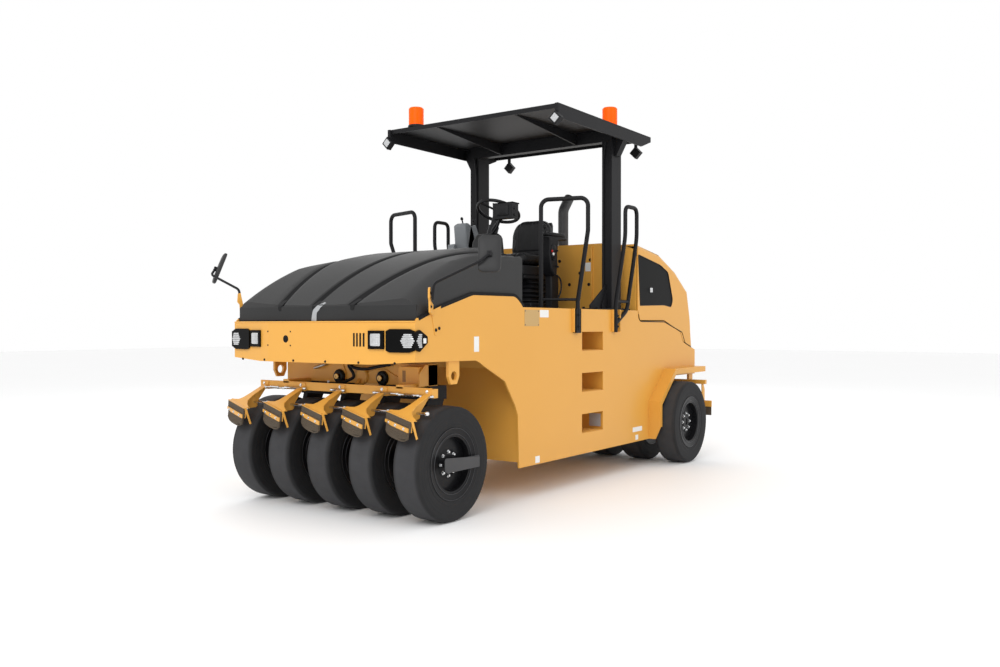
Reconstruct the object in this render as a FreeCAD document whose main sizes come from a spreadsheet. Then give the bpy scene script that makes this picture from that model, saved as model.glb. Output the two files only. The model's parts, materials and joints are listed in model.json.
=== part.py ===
"""Pneumatic tyre roller with five steered front wheels and six driven rear wheels.

A parametric FreeCAD document in millimetres.  +X is forward, +Y is the machine's left and +Z is up.
The origin lies on the ground in the middle of the machine's box.
Every driving size is a cell of the sheet "sizes".  The lengths along X in an outline are measured
from an axle, and the heights from the ground, so that a station keeps its place when others move.
"""
import FreeCAD, Part
import math
import os
import re
import Sketcher
from FreeCAD import Placement, Rotation, Vector

SIZES = {
    # running gear
    "front_axle": 1726.4,        # front axle ahead of the origin
    "wheelbase": 3316,
    "wheel_pitch": 385.6,        # neighbouring wheels, centre to centre
    "tyre_radius": 374.4,
    "tyre_width": 205.8,
    "tyre_shoulder": 46,
    "tyre_bead": 222,            # inner radius of the tyre
    "rim_wall": 9,
    "rim_well": 172,             # inner radius of the rim's well
    "rim_width": 178,
    "disc_offset": 34,           # rim disc, outward of the wheel's middle plane
    "hub_radius": 78,
    "axle_radius": 32,
    "running_gap": 0.5,          # a bore is this much larger in radius than its shaft
    # hull
    "plate": 12,                 # side plates, bumper and deck
    "plate_gap": 12,             # rear outer tyre to side plate
    "arch_wall": 785,            # hull's front wall behind the front axle
    "belly": 246,                # lower edge of the side plates
    "tank_bottom": 287,
    "arch_top": 1047,            # underside of the front frame, which the turntable bears on
    "deck": 1400,
    "hood_seat": 1292,           # top of the hull under the front cover
    "overhang": 360,             # bumper's corners ahead of the front axle
    "bumper_bow": 55,            # bumper's middle ahead of its corners
    "bumper_top": 1296,
    "bumper_bottom": 1022,
    "bulkhead": 2640,            # bulkhead behind the front axle
    "tail": 3905,                # rear panel behind the front axle
    "bay_floor": 900,
    "engine_height": 720,
    "wheel_roof": 802,           # hull over the rear wheels
    "step_length": 345,
    "step_height": 152,
    "step_pitch": 328,
    "step_low": 410,
    "step_start": 1677,          # steps behind the front axle
    "step_depth": 240,
    # covers
    "cover_back": 846,
    "cover_inset": 14,
    "cover_shoulder": 120,
    "groove_radius": 22,
    "groove_spacing": 312,
    "hood_wall": 10,
    "hood_gap": 8,
    "hood_top": 1988,
    "hood_edge": 45,
    "stack_radius": 48,
    "stack_station": 2790,
    "stack_top": 2485,
    # rear fenders
    "fender_reach": 113,
    "fender_top": 868,
    "fender_wall": 10,
    # roof
    "roof_front": 1310,
    "roof_back": 2890,
    "roof_half": 858,
    "roof_height": 2962,
    "roof_sheet": 12,
    "roof_lip": 110,
    "post_station": 2340,
    "post_length": 170,
    "post_width": 95,
    "post_outer": 758,
    "post_wall": 10,
    "beacon_radius": 65,
    "beacon_height": 165,
    "lamp_side": 78,
    # operator's place
    "seat_station": 2195,        # front of the backrest
    "seat_half": 215,
    "seat_height": 1890,
    "seat_top": 2216,
    "wheel_station": 1725,       # steering wheel's centre
    "wheel_height": 2240,
    "wheel_radius": 180,
    "wheel_grip": 14,
    "column_tilt": 25,
    "rail_radius": 17,
    "rail_top": 2250,
    "rail_outer": 1009,
    # steered front end
    "yoke_front": 63,            # front face of the yoke's beam behind the axle
    "yoke_depth": 180,
    "yoke_half": 770,
    "yoke_bottom": 862,
    "yoke_height": 130,
    "turntable": 230,
    "pin_spacing": 207,
    "pin_height": 906,
    "hanger": 40,
    "bar_front": 155,
    "bar_half": 812,
    "bar_top": 858,
    "bar_side": 46,
    "scraper_front": 440,
    "scraper_top": 745,
    "scraper_tip": 592,
    "eye_hole": 30,
}

HALF = "(2.5*wheel_pitch - tyre_width/2 - plate_gap)"        # outer face of a side plate
INSIDE = f"({HALF} - plate)"
REAR_AXLE = "(front_axle - wheelbase)"

doc = FreeCAD.newDocument("tyre_roller")
sheet = doc.addObject("Spreadsheet::Sheet", "sizes")
for row, (alias, number) in enumerate(SIZES.items(), start=1):
    sheet.set(f"A{row}", alias.replace("_", " "))
    sheet.set(f"B{row}", str(number))
    sheet.setAlias(f"B{row}", alias)
doc.recompute()

NODES = []


def bound(text):
    """An expression in which each bare size name points at its cell."""
    return re.sub(r"[a-z_]{3,}", lambda word: cell(word.group()), str(text))


def cell(word):
    return f"sizes.{word}" if word in SIZES else word


def value(text):
    """The number that an expression gives now."""
    number = sheet.evalExpression(bound(text))
    return float(getattr(number, "Value", number))


def bind(thing, **properties):
    for name, text in properties.items():
        thing.setExpression(name, bound(text))
    return thing


def place(thing, at, rotation=Rotation()):
    """Put a thing at a point whose three coordinates are expressions."""
    thing.Placement = Placement(Vector(*[value(text) for text in at]), rotation)
    for axis, text in zip("xyz", at):
        thing.setExpression(f"Placement.Base.{axis}", bound(text))
    return thing


def ahead(distance):
    """A station measured forward from the front axle."""
    return f"(front_axle + ({distance}))"


def node(label, thing):
    """Keep a thing as a sub-part with a label of its own."""
    thing.Label = label
    NODES.append(thing)
    return thing


# ---------------------------------------------------------------- building blocks
UPRIGHT = {
    "X": Rotation(Vector(0, 0, 1), Vector(1, 0, 0)),
    "Y": Rotation(Vector(1, 0, 0), -90),
    "Z": Rotation(),
}
PLANES = {
    "XY": Rotation(),
    "XZ": Rotation(Vector(1, 0, 0), 90),
    "YZ": Rotation(Vector(1, 1, 1), 120),
}
NORMALS = {"XY": Vector(0, 0, 1), "XZ": Vector(0, 1, 0), "YZ": Vector(1, 0, 0)}


def block(name, start, length):
    """A box from its lowest corner and its three lengths."""
    thing = doc.addObject("Part::Box", name)
    bind(thing, Length=length[0], Width=length[1], Height=length[2])
    return place(thing, start)


def rod(name, radius, length, start, along="Y"):
    thing = doc.addObject("Part::Cylinder", name)
    bind(thing, Radius=radius, Height=length)
    return place(thing, start, UPRIGHT[along])


def sketch(name, points, owner=None):
    """A closed outline; a third entry makes the edge to the next point an arc of that radius.

    A positive radius bulges to the right of the way round.
    """
    thing = owner.newObject("Sketcher::SketchObject", name) if owner else doc.addObject("Sketcher::SketchObject", name)
    corners = [Vector(value(point[0]), value(point[1]), 0) for point in points]
    joints = []
    for index, point in enumerate(points):
        begin = corners[index]
        end = corners[(index + 1) % len(corners)]
        if len(point) == 3:
            joints.append(add_arc(thing, begin, end, point[2]))
        else:
            thing.addGeometry(Part.LineSegment(begin, end))
            joints.append((1, 2))
    for index, point in enumerate(points):
        after = (index + 1) % len(points)
        thing.addConstraint(Sketcher.Constraint("Coincident", index, joints[index][1], after, joints[after][0]))
        fix_point(thing, index, joints[index][0], point, corners[index])
    return thing


def add_arc(thing, begin, end, radius_text):
    radius = value(radius_text)
    chord = end - begin
    offset = math.sqrt(radius ** 2 - chord.Length ** 2 / 4)
    left = Vector(-chord.y, chord.x, 0).normalize()
    centre = (begin + end) / 2 + left * math.copysign(offset, radius)
    first, last = (begin, end) if radius > 0 else (end, begin)
    angles = [math.atan2(spot.y - centre.y, spot.x - centre.x) for spot in (first, last)]
    circle = Part.Circle(centre, Vector(0, 0, 1), abs(radius))
    index = thing.addGeometry(Part.ArcOfCircle(circle, angles[0], angles[1]))
    number = thing.addConstraint(Sketcher.Constraint("Radius", index, abs(radius)))
    thing.setExpression(f"Constraints[{number}]", bound(f"abs({radius_text})"))
    return (1, 2) if radius > 0 else (2, 1)


def fix_point(thing, edge, end, point, corner):
    for kind, text, number in (("DistanceX", point[0], corner.x), ("DistanceY", point[1], corner.y)):
        index = thing.addConstraint(Sketcher.Constraint(kind, -1, 1, edge, end, number))
        thing.setExpression(f"Constraints[{index}]", bound(text))


def panel(name, plane, points, start, thick):
    """An outline in a plane, carried along the plane's normal from start."""
    drawn = sketch(f"{name}_outline", points)
    at = {"XY": ("0", "0", start), "XZ": ("0", start, "0"), "YZ": (start, "0", "0")}[plane]
    place(drawn, at, PLANES[plane])
    thing = doc.addObject("Part::Extrusion", name)
    thing.Base = drawn
    thing.DirMode = "Custom"
    thing.Dir = NORMALS[plane]
    thing.Solid = True
    return bind(thing, LengthFwd=thick)


def cut(name, base, tool):
    thing = doc.addObject("Part::Cut", name)
    thing.Base = base
    thing.Tool = tool
    return thing


def fuse(name, things):
    thing = doc.addObject("Part::MultiFuse", name)
    thing.Shapes = things
    return thing


def common(name, things):
    thing = doc.addObject("Part::MultiCommon", name)
    thing.Shapes = things
    return thing


def group(name, things):
    """Solids of one node that don't touch."""
    thing = doc.addObject("Part::Compound", name)
    thing.Links = things
    return thing


def mirrored(name, source):
    """The same piece on the machine's other side."""
    thing = doc.addObject("Part::Mirroring", name)
    thing.Source = source
    thing.Normal = Vector(0, 1, 0)
    return thing


def both_sides(name, source):
    return group(name, [source, mirrored(f"{name}_right", source)])


def turned(name, profile, at):
    """A profile of (radius, along) points turned about an axle along Y."""
    drawn = sketch(f"{name}_profile", profile)
    thing = doc.addObject("Part::Revolution", name)
    thing.Source = drawn
    thing.Axis = Vector(0, 1, 0)
    thing.Angle = 360
    thing.Solid = True
    return place(thing, at)


def tube(name, path, radius, bend):
    """A round bar through the points of a path, with each corner bent to the same radius."""
    points = [Vector(*[value(text) for text in point]) for point in path]
    edges = []
    begin = points[0]
    for before, corner, after in zip(points, points[1:], points[2:]):
        back = (before - corner).normalize()
        on = (after - corner).normalize()
        turn = math.pi - back.getAngle(on)
        reach = bend * math.tan(turn / 2)
        first = corner + back * reach
        last = corner + on * reach
        middle = corner + (back + on).normalize() * (bend / math.cos(turn / 2) - bend)
        edges += [Part.LineSegment(begin, first).toShape(), Part.Arc(first, middle, last).toShape()]
        begin = last
    edges.append(Part.LineSegment(begin, points[-1]).toShape())
    start = Part.Wire([Part.makeCircle(radius, points[0], points[1] - points[0])])
    thing = doc.addObject("Part::Feature", name)
    thing.Shape = Part.Wire(edges).makePipeShell([start], True, True)
    return thing


# ---------------------------------------------------------------- hull
def side_outline():
    """The side plate: front arch, sloped nose, deck edge, hood seam and the arch over the rear wheels."""
    nose = [("overhang - plate", "bumper_bottom + 19"), ("overhang - plate", "bumper_top + 8"),
            ("overhang - 27", "bumper_top + 19")]
    top = [("118", "deck - 22"), ("-232", "deck + 75"), ("-729", "deck + 78"), ("-779", "deck + 51"),
           ("-831", "deck"), ("-bulkhead - plate", "deck"), ("-bulkhead - 16", "deck - 12")]
    seam = [("-bulkhead - 59", "deck - 92"), ("-bulkhead - 554", "deck - 90"), ("-bulkhead - 913", "deck - 195"),
            ("-bulkhead - 983", "deck - 292"), ("-tail + 90", "deck - 344"), ("-tail", "deck - 370")]
    rear = [("-tail", "wheel_roof - 10"), ("-wheelbase + 128", "wheel_roof - 10"), ("-wheelbase + 424", "570"),
            ("-wheelbase + 434", "belly")]
    arch = [("-arch_wall + 4", "belly"), ("-arch_wall + 18", "629"), ("-arch_wall + 55", "704"),
            ("-arch_wall + 181", "880"), ("-356", "994"), ("-310", "1019"), ("-265", "1035")]
    return [(ahead(x), z) for x, z in reversed(nose + top + seam + rear + arch)]


def side_plate():
    body = doc.addObject("PartDesign::Body", "side_plate_body")
    drawn = sketch("side_plate_sketch", side_outline(), body)
    attach(drawn, body, "XZ_Plane")
    pad = body.newObject("PartDesign::Pad", "side_plate_pad")
    pad.Profile = drawn
    bind(pad, Length="plate")
    hole = sketch("step_sketch", rectangle(ahead("-step_start - step_length"), "step_low", "step_length", "step_height"),
                  body)
    attach(hole, body, "XZ_Plane")
    pocket = body.newObject("PartDesign::Pocket", "step_pocket")
    pocket.Profile = hole
    pocket.Midplane = True
    bind(pocket, Length="plate*4")
    steps = body.newObject("PartDesign::LinearPattern", "step_pattern")
    steps.Originals = [pocket]
    steps.Direction = (hole, ["V_Axis"])
    steps.Occurrences = 3
    bind(steps, Length="step_pitch*2")
    body.Tip = steps
    return place(body, ("0", HALF, "0"))


def attach(drawn, body, role):
    plane = [feature for feature in body.Origin.OriginFeatures if feature.Role == role][0]
    drawn.AttachmentSupport = [(plane, "")]
    drawn.MapMode = "FlatFace"


def rectangle(x, y, length, height):
    return [(x, y), (f"{x} + {length}", y), (f"{x} + {length}", f"{y} + {height}"), (x, f"{y} + {height}")]


def hull():
    """Ballast tank, front frame and engine bay floor in one welded box, with the step recesses cut in."""
    lower = [("overhang - 20", "arch_top"), ("-arch_wall + 95", "arch_top"), ("-arch_wall", "arch_top - 95"),
             ("-arch_wall", "tank_bottom"), ("-wheelbase + 446", "tank_bottom"), ("-wheelbase + 436", "580"),
             ("-wheelbase + 140", "wheel_roof"), ("-tail + 20", "wheel_roof")]
    upper = [("-tail + 20", "bay_floor"), ("-bulkhead", "bay_floor"), ("-bulkhead", "deck - plate"),
             ("-cover_back", "deck - plate"), ("-cover_back", "hood_seat"), ("overhang - 20", "hood_seat")]
    box = panel("hull_box", "XZ", [(ahead(x), z) for x, z in reversed(lower + upper)], f"-{INSIDE}", f"2*{INSIDE}")
    recesses = []
    for index in range(3):
        height = f"step_low - 6 + {index}*step_pitch"
        recess = block(f"step_recess_{index + 1}", (ahead("-step_start - step_length - 6"), f"{INSIDE} - step_depth", height),
                       ("step_length + 12", "step_depth + 5", "step_height + 12"))
        recesses += [recess, mirrored(f"step_recess_{index + 1}_right", recess)]
    return cut("hull_with_steps", box, fuse("step_recesses", recesses))


def bumper_plan(inset):
    """The bumper seen from above, set in from its outer face."""
    front = [("overhang", HALF), ("overhang + 0.85*bumper_bow", "510"), ("overhang + bumper_bow", "430")]
    corners = front + [(x, f"-({y})") for x, y in reversed(front)]
    return [(ahead(f"{x} - ({inset})"), y) for x, y in corners]


def bumper_sheet(name, inset, wall, bottom, height):
    """A bent sheet that follows the bumper."""
    outline = list(reversed(bumper_plan(inset))) + bumper_plan(f"({inset}) + {wall}")
    return panel(name, "XY", outline, bottom, height)


def front_bumper():
    sheet_metal = bumper_sheet("bumper_sheet", "0", "plate", "bumper_bottom", "bumper_top - bumper_bottom")
    view = [(f"-{HALF}", "bumper_bottom + 20"), ("-520", "bumper_bottom"), ("520", "bumper_bottom"),
            (HALF, "bumper_bottom + 20"), (HALF, "bumper_top"), (f"-{HALF}", "bumper_top")]
    face = panel("bumper_face", "YZ", view, ahead("0"), "overhang + 100")
    openings = [block(f"vent_slot_{index + 1}", (ahead("overhang"), f"383 + {index}*27", "1135"), ("100", "10", "86"))
                for index in range(4)]
    openings.append(rod("bumper_hole", "20", "120", (ahead("overhang"), "-251", "1178"), "X"))
    return cut("front_bumper_cut", common("bumper_form", [sheet_metal, face]), fuse("bumper_openings", openings))


def front_lamps():
    """Wrapped corner lamps and square inner lamps that stand proud of the bumper."""
    proud = bumper_sheet("lamp_layer", "-14", "13.7", "1090", "170")
    corner_lamp = [("644", "1112"), ("672", "1101"), ("815", "1101"), (f"{HALF} + 16", "1120"),
                   (f"{HALF} + 16", "1228"), ("815", "1247"), ("672", "1247"), ("644", "1234")]
    square_lamp = rectangle("510", "1121", "115", "116")
    faces = [panel("corner_lamp_prism", "YZ", corner_lamp, ahead("overhang - 60"), "200"),
             panel("square_lamp_prism", "YZ", square_lamp, ahead("overhang - 60"), "200")]
    fronts = common("lamp_fronts", [proud, fuse("lamp_prisms", faces)])
    wrap = [(ahead("overhang + 14"), "1120"), (ahead("overhang + 14"), "1228"), (ahead("overhang - 30"), "1242"),
            (ahead("overhang - 104"), "1200"), (ahead("overhang - 104"), "1160"), (ahead("overhang - 30"), "1106")]
    side = panel("lamp_wrap", "XZ", list(reversed(wrap)), f"{HALF} + 0.3", "14")
    return both_sides("lamp_pairs", fuse("lamp_left", [fronts, side]))


def front_cover():
    """Moulded front cover: one long curved top, rounded shoulders and three grooves."""
    body = doc.addObject("PartDesign::Body", "cover_body")
    outline = [("overhang + 12", "bumper_top + 6"), ("overhang + 12", "1410"), ("-cover_back + 4", "1850"),
               ("-cover_back + 4", "hood_seat")]
    points = [(ahead(x), z) for x, z in outline]
    points[1] = points[1] + ("2350",)
    points[-1] = (points[-1][0], "hood_seat + 0.3")
    points.append((ahead("overhang - 20"), "hood_seat + 0.3"))
    points.append((ahead("overhang - 20"), "bumper_top + 6"))
    drawn = sketch("cover_sketch", points, body)
    attach(drawn, body, "XZ_Plane")
    pad = body.newObject("PartDesign::Pad", "cover_pad")
    pad.Profile = drawn
    pad.Midplane = True
    bind(pad, Length=f"2*({HALF} - cover_inset)")
    doc.recompute()
    crown = [f"Edge{index + 1}" for index, edge in enumerate(pad.Shape.Edges)
             if edge.Curve.TypeId == "Part::GeomCircle" and edge.Length > 500]
    fillet = body.newObject("PartDesign::Fillet", "cover_shoulders")
    fillet.Base = (pad, crown)
    bind(fillet, Radius="cover_shoulder")
    body.Tip = fillet
    return body


def rear_hood():
    """Engine hood: a hollow shell, open below and in front, with side vents and a notch for the stack."""
    body = doc.addObject("PartDesign::Body", "hood_body")
    top = [("-bulkhead - plate - 5", "hood_top"), ("-bulkhead - 466", "hood_top - 63"), ("-bulkhead - 818", "hood_top - 205"),
           ("-tail + 166", "hood_top - 383"), ("-tail + 141", "hood_top - 470"), ("-tail + 115", "1223"),
           ("-tail + 90", "deck - 336")]
    seam = [("-bulkhead - 988", "deck - 285"), ("-bulkhead - 915", "deck - 187"), ("-bulkhead - 554", "deck - 82"),
            ("-bulkhead - 64", "deck - 84"), ("-bulkhead - 24", "deck - 8"), ("-bulkhead - plate - 5", "deck + hood_gap")]
    drawn = sketch("hood_sketch", [(ahead(x), z) for x, z in reversed(top + seam)], body)
    attach(drawn, body, "XZ_Plane")
    pad = body.newObject("PartDesign::Pad", "hood_pad")
    pad.Profile = drawn
    pad.Midplane = True
    bind(pad, Length=f"2*{HALF}")
    doc.recompute()
    limit = value("deck + 60")
    half = value(HALF)
    edges = [f"Edge{index + 1}" for index, edge in enumerate(pad.Shape.Edges)
             if abs(abs(edge.CenterOfMass.y) - half) < 1 and edge.CenterOfMass.z > limit
             and edge.CenterOfMass.x < value(ahead("-bulkhead - 20"))]
    fillet = body.newObject("PartDesign::Fillet", "hood_edges")
    fillet.Base = (pad, edges)
    bind(fillet, Radius="hood_edge")
    body.Tip = fillet
    inner = [("-bulkhead + 40", "hood_top - hood_wall"), ("-bulkhead - 466", "hood_top - 63 - hood_wall"),
             ("-bulkhead - 812", "hood_top - 205 - hood_wall"), ("-tail + 178", "hood_top - 390"),
             ("-tail + 152", "hood_top - 470"), ("-tail + 126", "1223"), ("-tail + 101", "deck - 420"),
             ("-bulkhead + 40", "deck - 420")]
    hollow = panel("hood_hollow", "XZ", [(ahead(x), z) for x, z in reversed(inner)],
                   f"-({HALF} - hood_wall)", f"2*({HALF} - hood_wall)")
    notch = block("stack_notch", (ahead("-stack_station - 75"), "-stack_radius - 18", "hood_top - 150"),
                  ("300", "2*stack_radius + 36", "300"))
    vents = panel("hood_vents", "XZ", vent_outline("0"), f"-{HALF} - 5", f"2*{HALF} + 10")
    return cut("rear_hood_cut", body, fuse("hood_openings", [hollow, notch, vents]))


def vent_outline(inset):
    """Side vent opening, set in all round."""
    corners = [("-bulkhead - 58", "deck + 45", 1, 1), ("-bulkhead - 20", "deck + 495", 1, -1),
               ("-bulkhead - 470", "deck + 425", 1, -1), ("-bulkhead - 640", "deck + 365", -1, -1),
               ("-bulkhead - 745", "deck + 110", -1, 1), ("-bulkhead - 710", "deck + 42", -1, 1),
               ("-bulkhead - 555", "deck + 58", -1, 1)]
    return [(ahead(f"{x} - {side}*({inset})"), f"{z} + {rise}*({inset})") for x, z, side, rise in corners]


def hood_grille():
    return panel("hood_grille_left", "XZ", vent_outline("0.5"), f"{HALF} - hood_wall + 1", "6")


def rear_fender():
    """Bent box over the outer rear wheel: front plate, slope, top and a rim round the open side."""
    outer = [("434", "belly"), ("434", "586"), ("100", "fender_top"), ("-wheel_tail", "fender_top")]
    path = [(x.replace("-wheel_tail", "wheelbase - tail"), z) for x, z in outer]
    inner = [("wheelbase - tail", "fender_top - fender_wall"), ("104", "fender_top - fender_wall"),
             ("434 - fender_wall", "582"), ("434 - fender_wall", "belly")]
    strip = panel("fender_strip", "XZ", [(f"({REAR_AXLE} + {x})", z) for x, z in reversed(path + inner)],
                  HALF, "fender_reach")
    rim = [("434", "358"), ("434", "586"), ("100", "fender_top"), ("wheelbase - tail", "fender_top"),
           ("wheelbase - tail", "fender_top - 52"), ("95", "fender_top - 52"), ("396", "557"), ("396", "358")]
    face = panel("fender_rim", "XZ", [(f"({REAR_AXLE} + {x})", z) for x, z in reversed(rim)],
                 f"{HALF} + fender_reach - fender_wall", "fender_wall")
    trim = panel("fender_trim", "YZ", [(f"{HALF} + fender_reach - 50", "belly - 1"), (f"{HALF} + fender_reach + 1", "belly - 1"),
                                       (f"{HALF} + fender_reach + 1", "358")], f"{REAR_AXLE} + 400", "60")
    return cut("fender_left", fuse("fender_form", [strip, face]), trim)


def bulkhead_panel():
    plate_part = panel("bulkhead_plate", "YZ", [(f"-{INSIDE}", "bay_floor"), (INSIDE, "bay_floor"), (INSIDE, "hood_top - 50"),
                                                ("600", "hood_top + 22"), ("-600", "hood_top + 22"),
                                                (f"-{INSIDE}", "hood_top - 50")], ahead("-bulkhead - plate"), "plate")
    return plate_part


def rear_panel():
    """Tail plate, bent forward at the top into the shelf under the hood."""
    outer = [("-tail", "wheel_roof"), ("-tail", "deck - 370"), ("-tail + 90", "deck - 344"), ("-tail + 150", "deck - 344")]
    inner = [("-tail + 150", "deck - 344 - plate"), ("-tail + 92", "deck - 344 - plate"), ("-tail + plate", "deck - 379"),
             ("-tail + plate", "wheel_roof")]
    return panel("rear_panel_sheet", "XZ", [(ahead(x), z) for x, z in reversed(outer + inner)], f"-{INSIDE}", f"2*{INSIDE}")


# ---------------------------------------------------------------- roof and posts
def rops_post():
    """Hollow post on a base plate, with gussets at its foot and at the roof."""
    inner_face = "post_outer - post_width"
    base = block("post_foot", (ahead("-post_station - post_length - 125"), f"{inner_face} - 90", "deck"),
                 ("post_length + 225", "post_width + 115", "16"))
    outside = block("post_outside", (ahead("-post_station - post_length"), inner_face, "deck"),
                    ("post_length", "post_width", "roof_height - roof_sheet - deck"))
    inside = block("post_inside", (ahead("-post_station - post_length + post_wall"), f"{inner_face} + post_wall", "deck + 16"),
                   ("post_length - 2*post_wall", "post_width - 2*post_wall", "roof_height - roof_sheet - deck - 30"))
    foot = [(f"{inner_face} - 80", "deck + 15"), (f"{inner_face} + 1", "deck + 15"), (f"{inner_face} + 1", "deck + 210"),
            (f"{inner_face} - 12", "deck + 210"), (f"{inner_face} - 80", "deck + 60")]
    gusset = panel("post_gusset", "YZ", foot, ahead("-post_station - post_length/2 - 6"), "12")
    heel = [(ahead("-post_station - 1"), "deck + 15"), (ahead("-post_station + 90"), "deck + 15"),
            (ahead("-post_station + 90"), "deck + 50"), (ahead("-post_station + 12"), "deck + 180"),
            (ahead("-post_station - 1"), "deck + 180")]
    toe = panel("post_toe", "XZ", heel, "post_outer - post_width/2 - 6", "12")
    brace = [("post_outer - 1", "roof_height - 230"), ("post_outer + 20", "roof_height - 230"),
             ("roof_half - roof_sheet", "roof_height - 105"), ("roof_half - roof_sheet", "roof_height - roof_sheet"),
             ("post_outer - 1", "roof_height - roof_sheet")]
    outrigger = panel("post_brace", "YZ", brace, ahead("-post_station - post_length/2 - 40"), "80")
    return fuse("post_left", [base, cut("post_tube", outside, inside), gusset, toe, outrigger])


def canopy_roof():
    """Roof sheet with deep side lips, a shallow front lip, two tapered ribs and the beacon seats."""
    length = "roof_back - roof_front"
    top = block("roof_top", (ahead("-roof_back"), "-roof_half", "roof_height - roof_sheet"),
                (length, "2*roof_half", "roof_sheet"))
    lip = [(ahead("-roof_back"), "roof_height - roof_sheet - 1"), (ahead("-roof_back"), "roof_height - 45"),
           (ahead("-roof_back + 180"), "roof_height - roof_lip"), (ahead("-roof_front - 20"), "roof_height - roof_lip"),
           (ahead("-roof_front"), "roof_height - roof_lip + 30"), (ahead("-roof_front"), "roof_height - roof_sheet - 1")]
    side = panel("roof_lip_side", "XZ", lip, "roof_half - roof_sheet", "roof_sheet")
    front = block("roof_lip_front", (ahead("-roof_front - roof_sheet"), "-roof_half", "roof_height - 36"),
                  ("roof_sheet", "2*roof_half", "30"))
    back = block("roof_lip_back", (ahead("-roof_back"), "-roof_half", "roof_height - 36"),
                 ("roof_sheet", "2*roof_half", "30"))
    rib_line = [(ahead("-1400"), "roof_height - roof_sheet + 1"), (ahead("-1400"), "roof_height - roof_sheet - 8"),
                (ahead("-post_station + 0.3"), "roof_height - roof_lip + 4"), (ahead("-post_station + 0.3"), "roof_height - roof_sheet + 1")]
    rib = panel("roof_rib", "XZ", list(reversed(rib_line)), "394", "12")
    seats = [rod(f"beacon_seat_{index}", "beacon_radius - 8", "22", (ahead(x), y, "roof_height - 1"), "Z")
             for index, x, y in beacon_spots()]
    parts = [top, side, mirrored("roof_lip_side_right", side), front, back, rib, mirrored("roof_rib_right", rib)]
    return fuse("roof_form", parts + seats)


def beacon_spots():
    return [(1, "-roof_front - 113", "-655"), (2, "-roof_back + 504", "713")]


def beacon_pair():
    beacons = []
    for index, x, y in beacon_spots():
        body = rod(f"beacon_{index}", "beacon_radius", "beacon_height - 10", (ahead(x), y, "roof_height + 21"), "Z")
        crown = doc.addObject("Part::Cone", f"beacon_crown_{index}")
        bind(crown, Radius1="beacon_radius", Radius2="beacon_radius - 9", Height="10")
        place(crown, (ahead(x), y, "roof_height + beacon_height + 11"))
        beacons.append(fuse(f"beacon_lens_{index}", [body, crown]))
    return group("beacon_set", beacons)


def work_light(name, x, y, facing):
    """A square lamp set on its corner."""
    thing = doc.addObject("Part::Box", name)
    bind(thing, Length="lamp_side", Width="lamp_side", Height="48")
    tilt = Rotation(Vector(0, 0, 1), Vector(facing, 0, 0)) * Rotation(Vector(0, 0, 1), 45)
    return place(thing, (x, y, "roof_height - 120 - lamp_side*0.7071"), tilt)


def work_lights():
    lights = []
    for name, x, y, facing in (("front", "-roof_front + 0.3", "roof_half - 9", 1), ("rear", "-roof_back - 0.3", "700", -1)):
        square = [("0", "-lamp_side*0.7071"), ("lamp_side*0.7071", "0"), ("0", "lamp_side*0.7071"), ("-lamp_side*0.7071", "0")]
        drawn = [(f"{y} + {across}", f"roof_height - 120 + {rise}") for across, rise in square]
        start = ahead(x) if facing == 1 else ahead(f"{x} - 48")
        body = panel(f"work_light_{name}", "YZ", drawn, start, "48")
        hanger = block(f"work_light_hanger_{name}", (ahead(x) if facing == 1 else ahead(f"{x} - 10"), f"{y} - 8", "roof_height - 90"),
                       ("10", "16", "84"))
        lights.append(fuse(f"work_light_{name}_left", [body, hanger]))
    return group("work_light_set", lights + [mirrored(f"work_light_right_{index}", light) for index, light in enumerate(lights)])


# ---------------------------------------------------------------- operator's place
def handrails():
    """Two bent rails on each side of the steps, with their channel brackets on the side plate."""
    foot_y = f"{HALF} + 20"
    front_path = [(ahead("-1392"), "644", "deck + 0.3"), (ahead("-1392"), "644", "rail_top"),
                  (ahead("-1490"), "rail_outer", "rail_top"), (ahead("-1490"), "rail_outer", "rail_top - 250"),
                  (ahead("-1575"), foot_y, "deck + 60"), (ahead("-1575"), foot_y, "deck - 170")]
    rear_path = [(ahead("-2205"), foot_y, "deck - 170"), (ahead("-2205"), foot_y, "deck + 60"),
                 (ahead("-2107"), "rail_outer", "rail_top - 250"), (ahead("-2107"), "rail_outer", "rail_top"),
                 (ahead("-2313"), "rail_outer", "rail_top"), (ahead("-2313"), "rail_outer", "rail_top - 250"),
                 (ahead("-2400"), foot_y, "deck + 80"), (ahead("-2205"), foot_y, "deck - 110")]
    bend = 62
    front = tube("front_rail", front_path, value("rail_radius"), bend)
    rear = tube("rear_rail", rear_path, value("rail_radius"), bend)
    bar = tube("rail_crossbar", [(ahead("-1392"), "644", "deck + 72"), (ahead("-1480"), "750", "deck + 72"),
                                 (ahead("-1572"), foot_y, "deck + 72")], 11, 40)
    brackets = [block("front_rail_bracket", (ahead("-1610"), f"{HALF} + 0.3", "deck - 190"), ("70", "30", "190")),
                block("rear_rail_bracket", (ahead("-2240"), f"{HALF} + 0.3", "deck - 190"), ("70", "30", "190"))]
    left = [fuse("front_rail_left", [front, bar, brackets[0]]), fuse("rear_rail_left", [rear, brackets[1]])]
    return group("rail_set", left + [mirrored(f"rail_right_{index}", rail) for index, rail in enumerate(left)])


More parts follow.
